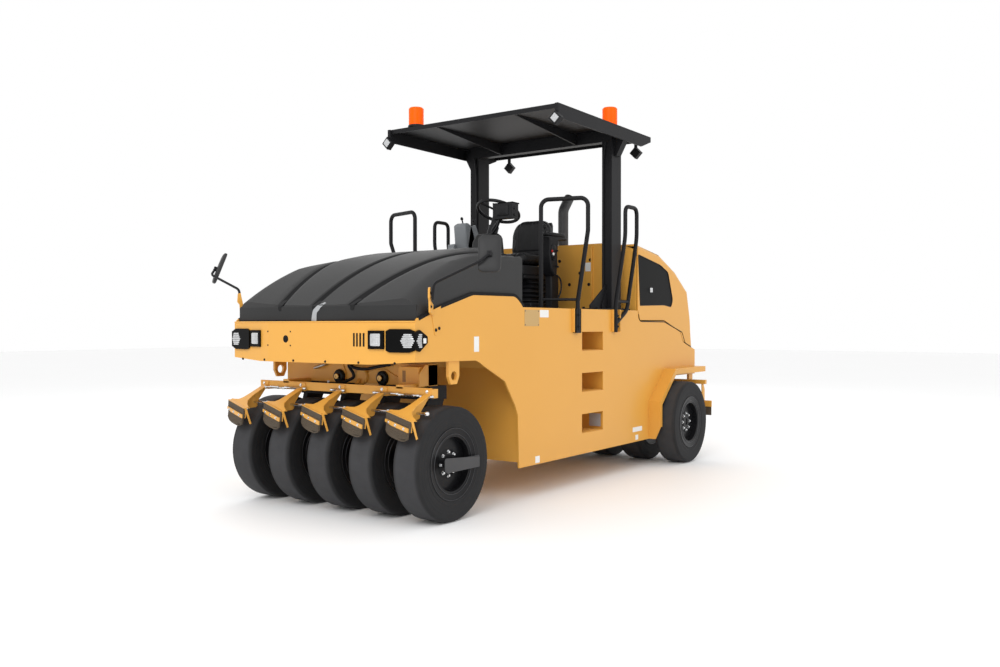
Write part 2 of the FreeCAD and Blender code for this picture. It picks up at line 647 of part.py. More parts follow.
def seat_parts():
    base = fuse("seat_base_form", [
        block("seat_plinth", (ahead("-2290"), "-190", "deck"), ("360", "380", "60")),
        block("seat_bellows", (ahead("-2270"), "-165", "deck + 60"), ("320", "330", "seat_height - deck - 195")),
        block("seat_pan", (ahead("-seat_station - 60"), "-seat_half + 10", "seat_height - 135"), ("460", "2*seat_half - 20", "30")),
    ])
    node("seat_base", base)
    cushion = [(ahead("-seat_station - 20"), "seat_height - 104.7"), (ahead("-seat_station + 430"), "seat_height - 104.7"),
               (ahead("-seat_station + 450"), "seat_height - 60"), (ahead("-seat_station + 425"), "seat_height - 12"),
               (ahead("-seat_station - 20"), "seat_height - 30")]
    node("seat_cushion", panel("seat_cushion_form", "XZ", cushion, "-seat_half - 15", "2*seat_half + 30"))
    back = [(ahead("-seat_station - 22"), "seat_height - 104.7"), (ahead("-seat_station - 22"), "seat_height - 20"),
            (ahead("-seat_station - 10"), "seat_height + 60"), (ahead("-seat_station - 55"), "seat_top"),
            (ahead("-seat_station - 120"), "seat_top"), (ahead("-seat_station - 135"), "seat_height - 104.7")]
    node("seat_back", panel("seat_back_form", "XZ", list(reversed(back)), "-seat_half", "2*seat_half"))


def arm_console():
    """Control pod beside the seat with its arm pad."""
    pod = [(ahead("-2240"), "deck"), (ahead("-2000"), "deck"), (ahead("-1985"), "deck + 330"), (ahead("-2030"), "deck + 590"),
           (ahead("-2240"), "deck + 590")]
    pad_line = [(ahead("-2255"), "deck + 588"), (ahead("-1985"), "deck + 588"), (ahead("-1950"), "deck + 612"),
                (ahead("-1960"), "deck + 636"), (ahead("-2255"), "deck + 638")]
    return fuse("arm_console_form", [panel("arm_pod", "XZ", pod, "268", "90"), panel("arm_pad", "XZ", pad_line, "256", "114")])


def side_console():
    outline = [(ahead("-2110"), "deck"), (ahead("-1850"), "deck"), (ahead("-1790"), "deck + 560"), (ahead("-1830"), "deck + 740"),
               (ahead("-1900"), "deck + 760"), (ahead("-2010"), "deck + 560"), (ahead("-2110"), "deck + 540")]
    return panel("side_console_form", "XZ", outline, "-500", "130")


def steering_column():
    """Pedestal, raked column and the display bracket."""
    lean = Rotation(Vector(0, 1, 0), -SIZES["column_tilt"])
    pedestal = [(ahead("-1500"), "deck"), (ahead("-1170"), "deck"), (ahead("-1230"), "deck + 420"), (ahead("-1500"), "deck + 520")]
    shaft = doc.addObject("Part::Cylinder", "column_shaft")
    bind(shaft, Radius="34", Height="500")
    lower = value("534.5")
    lean_x = math.sin(math.radians(SIZES["column_tilt"]))
    lean_z = math.cos(math.radians(SIZES["column_tilt"]))
    place(shaft, (ahead(f"-wheel_station + {lower}*{lean_x:.6f}"), "0", f"wheel_height - {lower}*{lean_z:.6f}"), lean)
    screen = block("display_box", (ahead("-1480"), "165", "wheel_height - 105"), ("70", "190", "125"))
    arm = block("display_arm", (ahead("-1480"), "100", "deck + 420"), ("40", "90", "wheel_height - deck - 500"))
    return fuse("column_form", [panel("column_pedestal", "XZ", list(reversed(pedestal)), "-150", "300"), shaft, arm, screen])


def steering_wheel():
    """Ring, three spokes and hub about the raked column."""
    lean = Rotation(Vector(0, 1, 0), -SIZES["column_tilt"])
    at = (ahead("-wheel_station"), "0", "wheel_height")
    ring = doc.addObject("Part::Torus", "steering_ring")
    bind(ring, Radius1="wheel_radius", Radius2="wheel_grip")
    place(ring, at, lean)
    hub = doc.addObject("Part::Cylinder", "steering_hub")
    bind(hub, Radius="38", Height="44")
    lean_x = math.sin(math.radians(SIZES["column_tilt"]))
    lean_z = math.cos(math.radians(SIZES["column_tilt"]))
    place(hub, (ahead(f"-wheel_station + 34*{lean_x:.6f}"), "0", f"wheel_height - 34*{lean_z:.6f}"), lean)
    spokes = []
    for index, angle in enumerate((90, 210, 330)):
        spoke = doc.addObject("Part::Cylinder", f"steering_spoke_{index + 1}")
        bind(spoke, Radius="9", Height="wheel_radius")
        place(spoke, at, lean * Rotation(Vector(0, 0, 1), angle) * UPRIGHT["X"])
        spokes.append(spoke)
    return fuse("steering_wheel_form", [ring, hub] + spokes)


def mirrors():
    """Bent arms on bracket plates, and the heads that face the operator."""
    plate_line = [(ahead("220"), "1340"), (ahead("290"), "1340"), (ahead("290"), "1480"), (ahead("262"), "1502"), (ahead("236"), "1480")]
    bracket = panel("mirror_bracket", "XZ", plate_line, f"{HALF} + 0.3", "10")
    arm = tube("mirror_arm_tube", [(ahead("262"), f"{HALF} + 22", "1400"), (ahead("258"), f"{HALF} + 40", "1500"),
                                   (ahead("240"), f"{HALF} + 130", "1570"), (ahead("203"), "1294", "1614.5"),
                                   (ahead("155"), "1264.6", "1634.5")], 10, 22)
    boss = rod("mirror_boss", "16", "26", (ahead("262"), f"{HALF} + 6", "1415"), "Y")
    arms = both_sides("mirror_arm_pair", fuse("mirror_arm_left", [bracket, boss, arm]))
    head = doc.addObject("Part::Box", "mirror_box")
    bind(head, Length="26", Width="150", Height="250")
    aim = Vector(-0.80, -0.49, 0.33)
    turn = Rotation(Vector(0, 0, 1), math.degrees(math.atan2(-0.49, -0.80))) * Rotation(Vector(0, 1, 0), -math.degrees(math.asin(0.33 / aim.Length)))
    corner = turn.multVec(Vector(-13, -75, -125))
    place(head, (ahead(f"164 + {corner.x:.3f}"), f"1270 + {corner.y:.3f}", f"1705 + {corner.z:.3f}"), turn)
    return arms, both_sides("mirror_head_pair", head)


def exhaust():
    path = [(ahead("-stack_station"), "0", "bay_floor + engine_height + 0.3"), (ahead("-stack_station"), "0", "stack_top - 130"),
            (ahead("-stack_station - 110"), "0", "stack_top")]
    outer = tube("stack_outer", path, value("stack_radius"), 90)
    return outer


# ---------------------------------------------------------------- wheels
def tyre_profile():
    """Half round shoulders between a flat crown and slightly drawn-in side walls."""
    half = "tyre_width/2"
    return [("tyre_bead", f"-{half} + 26"), ("tyre_bead + 62", f"-{half}"), ("tyre_radius - tyre_shoulder", f"-{half} + 2", "tyre_shoulder"),
            ("tyre_radius", f"-{half} + tyre_shoulder + 2"), ("tyre_radius", f"{half} - tyre_shoulder - 2", "tyre_shoulder"),
            ("tyre_radius - tyre_shoulder", f"{half} - 2"), ("tyre_bead + 62", half), ("tyre_bead", f"{half} - 26")]


def rim_profile(bore):
    """Half section of the rim with its well, disc and hub; the disc is dished outward."""
    edge = "rim_width/2"
    seat = "tyre_bead - 0.3"
    return [(bore, "disc_offset - 62"), ("hub_radius", "disc_offset - 62"), ("hub_radius", "disc_offset - 8"),
            ("rim_well + 4", "disc_offset - 8"), ("rim_well + 4", f"-{edge}"), ("tyre_bead + 12", f"-{edge} - 8"),
            ("tyre_bead + 12", f"-{edge} - 1"), (seat, f"-{edge} + 7"), (seat, f"-{edge} + 40"),
            ("rim_well + 16", f"-{edge} + 58"), ("rim_well + 16", f"{edge} - 58"), (seat, f"{edge} - 40"), (seat, f"{edge} - 7"),
            ("tyre_bead + 12", f"{edge} + 1"), ("tyre_bead + 12", f"{edge} + 8"), ("rim_well + 4", edge),
            ("rim_well + 4", "disc_offset + 6"), ("hub_radius + 20", "disc_offset + 6"), ("hub_radius - 20", "disc_offset + 20"),
            (bore, "disc_offset + 20")]


def front_wheels():
    for index in range(5):
        y = f"{index - 2}*wheel_pitch"
        at = ("front_axle", y, "tyre_radius")
        node(f"front_tyre_{index + 1}", turned(f"front_tyre_form_{index + 1}", tyre_profile(), at))
        rim = turned(f"front_rim_form_{index + 1}", rim_profile("axle_radius + running_gap"), at)
        node(f"front_rim_{index + 1}", rim)


def rear_wheels():
    for side in ("left", "right"):
        tyres = []
        rims = []
        for index in range(3):
            at = (REAR_AXLE, f"{index + 0.5}*wheel_pitch", "tyre_radius")
            tyres.append(turned(f"rear_tyre_form_{side}_{index + 1}", tyre_profile(), at))
            rims.append(turned(f"rear_rim_form_{side}_{index + 1}", rim_profile("axle_radius - 1"), at))
        shaft = rod(f"rear_shaft_{side}", "axle_radius", "2.5*wheel_pitch + disc_offset - 12", (REAR_AXLE, "25", "tyre_radius"), "Y")
        tyre_set = group(f"rear_tyre_set_{side}", tyres)
        rim_set = fuse(f"rear_rim_set_{side}", rims + [shaft])
        if side == "right":
            tyre_set = mirrored("rear_tyre_set_far", tyre_set)
            rim_set = mirrored("rear_rim_set_far", rim_set)
        node(f"rear_tyres_{side}", tyre_set)
        node(f"rear_rims_{side}", rim_set)


def rear_axle():
    """Hangers between the wheels with their bearing bosses, under one cross beam."""
    hangers = []
    for index, y in enumerate(("-wheel_pitch", "0", "wheel_pitch")):
        outline = [(f"{REAR_AXLE} - 70", "tyre_radius - 60"), (f"{REAR_AXLE} + 70", "tyre_radius - 60"),
                   (f"{REAR_AXLE} + 130", "wheel_roof - 0.3"), (f"{REAR_AXLE} - 130", "wheel_roof - 0.3")]
        hangers.append(panel(f"rear_hanger_{index + 1}", "XZ", outline, f"{y} - hanger/2", "hanger"))
        hangers.append(rod(f"rear_bearing_{index + 1}", "62", "2*hanger", (REAR_AXLE, f"{y} - hanger", "tyre_radius"), "Y"))
    bore = rod("rear_bearing_bore", "axle_radius + running_gap", "2*wheel_pitch + 4*hanger", (REAR_AXLE, "-wheel_pitch - 2*hanger", "tyre_radius"), "Y")
    beam = block("rear_cross_beam", (f"{REAR_AXLE} - 60", f"-{INSIDE} + 60", "wheel_roof - 34"), ("120", f"2*{INSIDE} - 120", "33.7"))
    return cut("rear_axle_form", fuse("rear_hanger_set", hangers + [beam]), bore)


# ---------------------------------------------------------------- steered front end
def yoke():
    """Cross beam under a turntable that turns on the hull."""
    beam = block("yoke_beam", (ahead("-yoke_front - yoke_depth"), "-yoke_half", "yoke_bottom"),
                 ("yoke_depth", "2*yoke_half", "yoke_height"))
    top = rod("yoke_turntable", "turntable", "arch_top - 0.3 - yoke_bottom - yoke_height + 12", ("front_axle", "0", "yoke_bottom + yoke_height - 12"), "Z")
    cheeks = [panel("yoke_cheek", "XZ", [(ahead("-yoke_front - 1"), "yoke_bottom + 40"), (ahead("-yoke_front + 60"), "yoke_bottom + yoke_height - 12"),
                                         (ahead("-yoke_front - 1"), "yoke_bottom + yoke_height - 12")], "-20", "40")]
    return fuse("yoke_form", [beam, top] + cheeks)


def pivot_pins():
    bush = rod("pivot_bush", "58", "16", (ahead("-yoke_front + 0.3"), "pin_spacing", "pin_height"), "X")
    pin = rod("pivot_pin", "22", "44", (ahead("-yoke_front + 15"), "pin_spacing", "pin_height"), "X")
    return both_sides("pivot_pin_set", fuse("pivot_pin_left", [bush, pin]))


def wheel_carriers():
    """One carrier a side hangs under the yoke and holds the axle between the wheels."""
    beam = block("carrier_beam", (ahead("-yoke_front - yoke_depth + 3"), "0.5*wheel_pitch - hanger", "770"),
                 ("yoke_depth - 6", "wheel_pitch + 2*hanger", "yoke_bottom - 770.3"))
    parts = [beam]
    for index, y in enumerate(("0.5*wheel_pitch", "1.5*wheel_pitch")):
        outline = [(ahead("-60"), "tyre_radius - 60"), (ahead("60"), "tyre_radius - 60"), (ahead("-yoke_front - 6"), "772"),
                   (ahead("-yoke_front - yoke_depth + 6"), "772")]
        parts.append(panel(f"front_hanger_{index + 1}", "XZ", outline, f"{y} - hanger/2", "hanger"))
        parts.append(rod(f"front_boss_{index + 1}", "58", "2*hanger", ("front_axle", f"{y} - hanger", "tyre_radius"), "Y"))
    bore = rod("front_boss_bore", "axle_radius + 0.3", "2*wheel_pitch", ("front_axle", "0", "tyre_radius"), "Y")
    return both_sides("carrier_pair", cut("carrier_left", fuse("carrier_form", parts), bore))


def front_axle_shaft():
    """Fixed axle through all five front wheels, with the flat arm on each end."""
    shaft = rod("front_shaft", "axle_radius", "2*(2*wheel_pitch + 118)", ("front_axle", "-2*wheel_pitch - 118", "tyre_radius"), "Y")
    arm_line = [(ahead("-236"), "tyre_radius - 34"), (ahead("20"), "tyre_radius - 36"), (ahead("42"), "tyre_radius - 14"),
                (ahead("42"), "tyre_radius + 14"), (ahead("20"), "tyre_radius + 36"), (ahead("-236"), "tyre_radius + 34")]
    arm = panel("hub_arm", "XZ", arm_line, "2*wheel_pitch + 112", "14")
    return fuse("front_axle_form", [shaft, arm, mirrored("hub_arm_right", arm)])


def scraper_bracket(name, y, axle, reach, tip_height):
    """One scraper: arm from the bar, cross flange and the deflector at its end; reach is signed."""
    sign = "-" if reach.startswith("-") else ""
    return name, y, axle, reach, tip_height, sign


def front_scrapers():
    bar = block("front_bar", (ahead("bar_front - bar_side"), "-bar_half", "bar_top - bar_side"), ("bar_side", "2*bar_half", "bar_side"))
    stays = [block(f"front_stay_{index}", (ahead("-yoke_front + 0.3"), f"{y} - 25", "yoke_bottom + 2"),
                   ("bar_front + yoke_front - bar_side + 10", "50", "bar_top - yoke_bottom + 20")) for index, y in enumerate(("-580", "580"))]
    drops = [block(f"front_stay_drop_{index}", (ahead("bar_front - bar_side - 1"), f"{y} - 25", "bar_top - 10"), ("30", "50", "28"))
             for index, y in enumerate(("-580", "580"))]
    parts = [bar] + stays + drops
    for index in range(5):
        y = f"{index - 2}*wheel_pitch"
        arm = [(ahead("bar_front - 40"), "bar_top - bar_side"), (ahead("bar_front + 60"), "bar_top - 90"),
               (ahead("scraper_front - 110"), "scraper_top - 62"), (ahead("scraper_front - 6"), "scraper_top - 52"),
               (ahead("scraper_front - 6"), "scraper_top"), (ahead("bar_front + 96"), "bar_top - 12"), (ahead("bar_front - 20"), "bar_top + 6"),
               (ahead("bar_front - 40"), "bar_top - 4")]
        parts.append(panel(f"front_arm_{index + 1}", "XZ", arm, f"{y} + 20", "10"))
        parts.append(block(f"front_flange_{index + 1}", (ahead("scraper_front - 8"), f"{y} - tyre_width/2", "scraper_top - 56"), ("8", "tyre_width", "56")))
        cheek = [(ahead("scraper_front"), "scraper_top - 110"), (ahead("scraper_front"), "scraper_top"), (ahead("scraper_front - 60"), "scraper_top"),
                 (ahead("scraper_front - 60"), "scraper_top - 110")]
        fin = [(ahead("scraper_front"), "scraper_top - 52"), (ahead("scraper_front - 50"), "scraper_top - 138"), (ahead("scraper_front - 62"), "scraper_top - 130"),
               (ahead("scraper_front - 12"), "scraper_top - 40")]
        parts.append(panel(f"front_fin_{index + 1}", "XZ", list(reversed(fin)), f"{y} + tyre_width/2 - 5", "5"))
    return fuse("front_scraper_form", parts)


def front_blades():
    blades = [block(f"front_blade_{index + 1}", (ahead("scraper_front + 0.3"), f"{index - 2}*wheel_pitch - tyre_width/2 + 4", "scraper_tip"),
                    ("12", "tyre_width - 12", "scraper_top - scraper_tip - 8")) for index in range(5)]
    return group("front_blade_set", blades)


def rear_scrapers():
    bar_x = f"({REAR_AXLE} - 470)"
    bar = block("rear_bar", (bar_x, "-2.5*wheel_pitch - 60", "700"), ("40", "5*wheel_pitch + 120", "40"))
    posts = [block(f"rear_stay_{index}", (bar_x, f"{y} - 25", "730"), ("40", "50", "wheel_roof - 730.3")) for index, y in enumerate(("-500", "500"))]
    parts = [bar] + posts
    for index in range(6):
        y = f"{index - 2.5}*wheel_pitch"
        arm = [(f"{bar_x} + 2", "738"), (f"{bar_x} + 2", "702"), (f"{bar_x} - 26", "640"), (f"{bar_x} - 26", "478"), (f"{bar_x} - 14", "478"),
               (f"{bar_x} + 30", "600"), (f"{bar_x} + 38", "738")]
        parts.append(panel(f"rear_arm_{index + 1}", "XZ", arm, f"{y} + 20", "10"))
        parts.append(block(f"rear_flange_{index + 1}", (f"{bar_x} - 26", f"{y} - tyre_width/2", "478"), ("8", "tyre_width", "60")))
    return fuse("rear_scraper_form", parts)


def rear_blades():
    bar_x = f"({REAR_AXLE} - 470)"
    blades = [block(f"rear_blade_{index + 1}", (f"{bar_x} - 38.3", f"{index - 2.5}*wheel_pitch - tyre_width/2 + 4", "395"), ("12", "tyre_width - 12", "135"))
              for index in range(6)]
    return group("rear_blade_set", blades)


def lifting_eyes():
    """Front eye plates under the side plates, and rear ones under the tail."""
    eyes = []
    for name, x, half, top in (("front", "-42", "57", "arch_top - 0.3"), ("rear", "-tail + 70", "45", "wheel_roof - 0.3")):
        outline = [(ahead(f"{x} - {half}"), top), (ahead(f"{x} - {half}"), f"{top} - 110"), (ahead(f"{x} - {half} + 25"), f"{top} - 160"),
                   (ahead(f"{x} + {half} - 25"), f"{top} - 160"), (ahead(f"{x} + {half}"), f"{top} - 110"), (ahead(f"{x} + {half}"), top)]
        lug = panel(f"{name}_eye_plate", "XZ", outline, f"{INSIDE} - 20.3", "20")
        hole = rod(f"{name}_eye_hole", "eye_hole", "40", (ahead(x), f"{INSIDE} - 30", f"{top} - 105"), "Y")
        eyes.append(cut(f"{name}_eye_left", lug, hole))
    return group("eye_set", eyes + [mirrored(f"eye_right_{index}", eye) for index, eye in enumerate(eyes)])


# ---------------------------------------------------------------- the machine
def build():
    left_plate = node("side_plate_left", side_plate())
    node("side_plate_right", mirrored("side_plate_far", left_plate))
    node("ballast_tank", hull())
    node("front_bumper", front_bumper())
    node("front_lamps", front_lamps())
    node("platform_floor", block("floor_plate", (ahead("-bulkhead"), f"-{INSIDE}", "deck - plate"),
                                 ("bulkhead - cover_back", f"2*{INSIDE}", "plate")))
    node("front_cover", front_cover())
    node("bulkhead", bulkhead_panel())
    node("rear_panel", rear_panel())
    node("rear_hood", rear_hood())
    node("hood_grilles", both_sides("hood_grille_pair", hood_grille()))
    fender = node("rear_fender_left", rear_fender())
    node("rear_fender_right", mirrored("fender_far", fender))
    post = node("rops_post_left", rops_post())
    node("rops_post_right", mirrored("post_far", post))
    node("canopy_beam", block("canopy_beam_box", (ahead("-post_station - 80"), "-post_outer + post_width", "roof_height - roof_lip"),
                              ("80", "2*(post_outer - post_width)", "roof_lip - roof_sheet")))
    node("canopy_roof", canopy_roof())
    node("beacons", beacon_pair())
    node("work_lights", work_lights())
    node("handrails", handrails())
    seat_parts()
    node("arm_console", arm_console())
    node("side_console", side_console())
    node("steering_column", steering_column())
    node("steering_wheel", steering_wheel())
    arms, heads = mirrors()
    node("mirror_arms", arms)
    node("mirror_heads", heads)
    node("exhaust_stack", exhaust())
    node("engine_block", block("engine_box", (ahead("-3560"), "-340", "bay_floor"), ("820", "680", "engine_height")))
    node("lifting_eyes", lifting_eyes())
    node("rear_axle", rear_axle())
    node("rear_scraper_bar", rear_scrapers())
    node("rear_scraper_blades", rear_blades())
    rear_wheels()
    node("front_yoke", yoke())
    node("pivot_pins", pivot_pins())
    node("wheel_carriers", wheel_carriers())
    node("front_axle_shaft", front_axle_shaft())
    node("front_scraper_bar", front_scrapers())
    node("front_scraper_blades", front_blades())
    front_wheels()


build()
doc.recompute()
for thing in doc.Objects:
    if "Invalid" in thing.State or "Error" in thing.State:
        raise RuntimeError(f"{thing.Name} ({thing.Label}) failed: {thing.State}")
os.makedirs("parts", exist_ok=True)
for thing in NODES:
    shape = thing.Shape
    if shape.isNull() or not shape.isValid() or not shape.Solids:
        raise RuntimeError(f"{thing.Label} has no valid solid")
    shape.exportStep(os.path.join("parts", f"{thing.Label}.step"))
    box = shape.BoundBox
    print(f"{thing.Label:24s} {len(shape.Solids)} solids  x {box.XMin:7.0f} {box.XMax:7.0f}  y {box.YMin:7.0f} {box.YMax:7.0f}"
          f"  z {box.ZMin:7.0f} {box.ZMax:7.0f}")
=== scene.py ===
"""Looks of a pneumatic tyre roller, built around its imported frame.

Lengths are in metres in the machine's own frame: +X forward, +Y to its left and +Z up.
Most stations are written in millimetres from the front axle, and spot() turns them into metres.
"""

import json
import math

import bmesh
import bpy
import numpy as np
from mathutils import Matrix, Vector


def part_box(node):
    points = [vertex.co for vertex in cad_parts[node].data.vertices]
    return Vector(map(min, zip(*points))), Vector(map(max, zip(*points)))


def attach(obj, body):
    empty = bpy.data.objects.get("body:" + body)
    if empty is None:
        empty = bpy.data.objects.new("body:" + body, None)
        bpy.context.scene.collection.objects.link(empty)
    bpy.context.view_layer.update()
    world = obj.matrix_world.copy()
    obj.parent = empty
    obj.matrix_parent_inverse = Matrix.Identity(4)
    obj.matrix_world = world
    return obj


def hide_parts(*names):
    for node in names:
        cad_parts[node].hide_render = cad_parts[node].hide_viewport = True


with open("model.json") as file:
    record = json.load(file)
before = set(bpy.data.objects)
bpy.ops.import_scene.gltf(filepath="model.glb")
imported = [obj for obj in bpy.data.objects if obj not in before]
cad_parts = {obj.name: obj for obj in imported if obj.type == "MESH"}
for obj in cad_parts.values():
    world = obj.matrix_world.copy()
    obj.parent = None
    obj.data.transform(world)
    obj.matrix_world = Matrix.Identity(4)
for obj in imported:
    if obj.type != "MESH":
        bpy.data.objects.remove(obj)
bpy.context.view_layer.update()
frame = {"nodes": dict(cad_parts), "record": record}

MM = 0.001
SIDES = (1, -1)
SMOOTH = math.radians(35)                 # sharper edges than this stay sharp
CRISP = math.radians(30)
BEVEL_FROM = math.radians(40)
SAME_POINT = 1e-6
AXIS = 0.01                               # a profile's end on its axis: small, but still a ring
AHEAD, LEFT, UP = (1, 0, 0), (0, 1, 0), (0, 0, 1)


def middle(node):
    """Centre of a CAD node's box."""
    low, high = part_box(node)
    return np.array((low + high) / 2)


FRONT = middle("front_tyre_3")[0]                      # front axle
REAR = middle("rear_tyres_left")[0]                    # rear axle
AXLE_UP = middle("front_tyre_3")[2]
TYRE_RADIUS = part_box("front_tyre_3")[1].z - AXLE_UP
TYRE_HALF = (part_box("front_tyre_3")[1].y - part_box("front_tyre_3")[0].y) / 2
PITCH = middle("front_tyre_4")[1] - middle("front_tyre_3")[1]
PLATE_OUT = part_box("side_plate_left")[1].y             # outer face of the side plates


def spot(x, y, z):
    """Millimetres ahead of the front axle, to the left and above the ground, as metres in the frame."""
    return np.array([FRONT + x * MM, y * MM, z * MM])


# ---------------------------------------------------------------- surfaces

def join(*shapes):
    """Several (vertices, faces) as one."""
    points, faces, start = [], [], 0
    for vertices, polygons in shapes:
        points.append(np.asarray(vertices, float).reshape(-1, 3))
        faces += [[index + start for index in polygon] for polygon in polygons]
        start += len(points[-1])
    return np.concatenate(points), faces


def net(points, close_rows=False, close_columns=False, cap_ends=False):
    """Quads over a grid of points, rows by columns; rows can be capped where the columns close."""
    points = np.asarray(points, float)
    rows, columns = points.shape[:2]
    index = np.arange(rows * columns).reshape(rows, columns)
    if close_rows:
        index = np.vstack([index, index[:1]])
    if close_columns:
        index = np.hstack([index, index[:, :1]])
    quads = np.stack([index[:-1, :-1], index[1:, :-1], index[1:, 1:], index[:-1, 1:]],
                     axis=-1).reshape(-1, 4)
    faces = quads.tolist()
    if cap_ends:
        faces += [np.arange(columns).tolist(), (np.arange(columns)[::-1] +
                                                (rows - 1) * columns).tolist()]
    return points.reshape(-1, 3), faces


def carry(path, profile, closed=False):
    """A profile of (side, up) points carried along a path; its frame turns as little as it can."""
    path = np.asarray(path, float)
    after = np.roll(path, -1, axis=0)
    before = np.roll(path, 1, axis=0)
    if not closed:
        after[-1], before[0] = path[-1] * 2 - path[-2], path[0] * 2 - path[1]
    ahead = after - before
    ahead /= np.linalg.norm(ahead, axis=1, keepdims=True)
    side = np.cross(ahead[0], UP if abs(ahead[0][2]) < 0.9 else AHEAD)
    sides = []
    for direction in ahead:
        side = side - direction * side.dot(direction)
        side = side / np.linalg.norm(side)
        sides.append(side)
    sides = np.array(sides)
    ups = np.cross(sides, ahead)
    profile = np.asarray(profile, float)
    rings = path[:, None] + sides[:, None] * profile[None, :, :1] + ups[:, None] * profile[None, :, 1:]
    return net(rings, close_rows=closed, close_columns=True, cap_ends=not closed)


def circle(radius, count=14):
    """Points of a ring, in the order that faces outward when it is carried."""
    angle = np.arange(count) * 2 * math.pi / count
    return np.stack([np.cos(angle), np.sin(angle)], axis=1) * radius


def rounded(points, bend, steps=6):
    """A path whose corners are replaced by quadratic curves that start bend short of each corner."""
    points = np.asarray(points, float)
    line = [points[:1]]
    share = np.linspace(0, 1, steps)[:, None]
    for before, corner, after in zip(points, points[1:], points[2:]):
        back, on = before - corner, after - corner
        first = corner + back * min(bend / np.linalg.norm(back), 0.5)
        last = corner + on * min(bend / np.linalg.norm(on), 0.5)
        line.append(first * (1 - share) ** 2 + corner * 2 * share * (1 - share) + last * share ** 2)
    line.append(points[-1:])
    return np.concatenate(line)


def hose(points, radius, bend=0.05, sides=12):
    """A round hose or bar through points, with its corners eased."""
    return carry(rounded(points, bend), circle(radius, sides))


def turned(profile, centre, axis, count=24):
    """A closed solid of revolution: profile is (along, radius) from end to end, about an axis."""
    axis = np.asarray(axis, float) / np.linalg.norm(axis)
    across = np.cross(axis, UP if abs(axis[2]) < 0.9 else AHEAD)
    across /= np.linalg.norm(across)
    over = np.cross(axis, across)
    profile = np.asarray(profile, float)
    angle = np.arange(count) * 2 * math.pi / count
    ring = across * np.cos(angle)[:, None] + over * np.sin(angle)[:, None]
    points = np.asarray(centre) + axis * profile[:, None, :1] + ring[None] * profile[:, None, 1:]
    return net(points, close_columns=True, cap_ends=True)


def spun(profile, centre, axis, count=24):
    """A turned solid whose ends are flat: its profile is led straight in to the axis at both ends."""
    return turned([(profile[0][0], AXIS), *profile, (profile[-1][0], AXIS)], centre, axis, count)


def turned_ring(profile, centre, count=96):
    """A closed profile of (across, radius) turned about an axle along Y."""
    profile = np.asarray(profile, float)
    angle = np.arange(count) * 2 * math.pi / count
    radius = profile[:, 1][:, None]
    points = np.stack([radius * np.cos(angle), np.repeat(profile[:, :1], count, axis=1),
                       radius * np.sin(angle)], -1)
    return net(points + np.asarray(centre), close_rows=True, close_columns=True)


def prism(outline, origin, across, up, depth):
    """An outline of (across, up) points, given depth against its normal and a face on each end."""
    across, up = np.asarray(across, float), np.asarray(up, float)
    outline = np.asarray(outline, float)
    normal = np.cross(across, up)
    face = np.asarray(origin) + outline[:, :1] * across + outline[:, 1:] * up
    count = len(outline)
    points = np.concatenate([face, face - normal * depth])
    ring = np.arange(count)
    walls = np.stack([ring, ring + count, np.roll(ring, -1) + count, np.roll(ring, -1)],
                     axis=1).tolist()
    return points, [ring.tolist(), (ring[::-1] + count).tolist()] + walls


def plate(half_wide, half_high, corner, steps=5):
    """Outline of a rectangle with round corners about its middle."""
    turn = np.linspace(0, math.pi / 2, steps)
    arc = np.stack([np.cos(turn), np.sin(turn)], axis=1) * corner
    quarter = np.array([half_wide - corner, half_high - corner])
    spins = [np.array([[math.cos(a), math.sin(a)], [-math.sin(a), math.cos(a)]])
             for a in np.arange(4) * math.pi / 2]
    flip = [quarter, quarter * (-1, 1), quarter * (-1, -1), quarter * (1, -1)]
    return np.concatenate([arc @ spin + shift for spin, shift in zip(spins, flip)])


def strip(path, half_widths, thickness, side=LEFT):
    """A flat strip along a path, so wide at each point, that lies across a given direction."""
    path = np.asarray(path, float)
    ahead = np.gradient(path, axis=0)
    ahead /= np.linalg.norm(ahead, axis=1, keepdims=True)
    sides = np.asarray(side, float) - ahead * (ahead @ np.asarray(side, float))[:, None]
    sides /= np.linalg.norm(sides, axis=1, keepdims=True)
    lift = np.cross(sides, ahead) * thickness / 2
    sides = sides * np.broadcast_to(np.asarray(half_widths, float), len(path))[:, None]
    rings = np.stack([path + sides + lift, path - sides + lift, path - sides - lift, path +
                      sides - lift], axis=1)
    return net(rings, close_columns=True, cap_ends=True)


def swell(outline, origin, across, up, layers):
    """An outline stacked in layers of (scale, height) along its normal, so that it swells and closes
    in."""
    across, up = np.asarray(across, float), np.asarray(up, float)
    outline = np.asarray(outline, float)
    face = outline[:, :1] * across + outline[:, 1:] * up
    layers = np.asarray(layers, float)
    rings = np.asarray(origin) + face[None] * layers[:, None, :1] + np.cross(across, up) * layers[:,
                                                                                                  None,
                                                                                                  1:]
    return net(rings, close_columns=True, cap_ends=True)


def bar(low, high):
    """A box between two corners."""
    low, high = np.minimum(low, high), np.maximum(low, high)
    size = high - low
    return prism([(0, 0), (size[0], 0), (size[0], size[1]), (0, size[1])], low + (0, 0, size[2]), AHEAD,
                 LEFT, size[2])


def bolts(points, normal, radius, height, head=6):
    """Bolt heads: washers with six-sided or round domed heads, one at each point, facing along a
    normal."""
    profile = [(-radius * 0.4, 0.01 * radius), (-radius * 0.4, radius * 1.45),
               (height * 0.25, radius * 1.4)]
    top = [(height * 0.3, radius), (height * 0.85, radius), (height, radius * 0.8),
           (height, 0.01 * radius)]
    heads = []
    for point in np.asarray(points, float).reshape(-1, 3):
        heads.append(turned(profile + [(height * 0.25, 0.01 * radius)], point, normal, 12))
        heads.append(turned(top, point, normal, head))
    return join(*heads)


def mirrored(shape):
    """The same shape on the machine's other side, with its faces turned back outward."""
    points, faces = shape
    return np.asarray(points) * (1, -1, 1), [face[::-1] for face in faces]


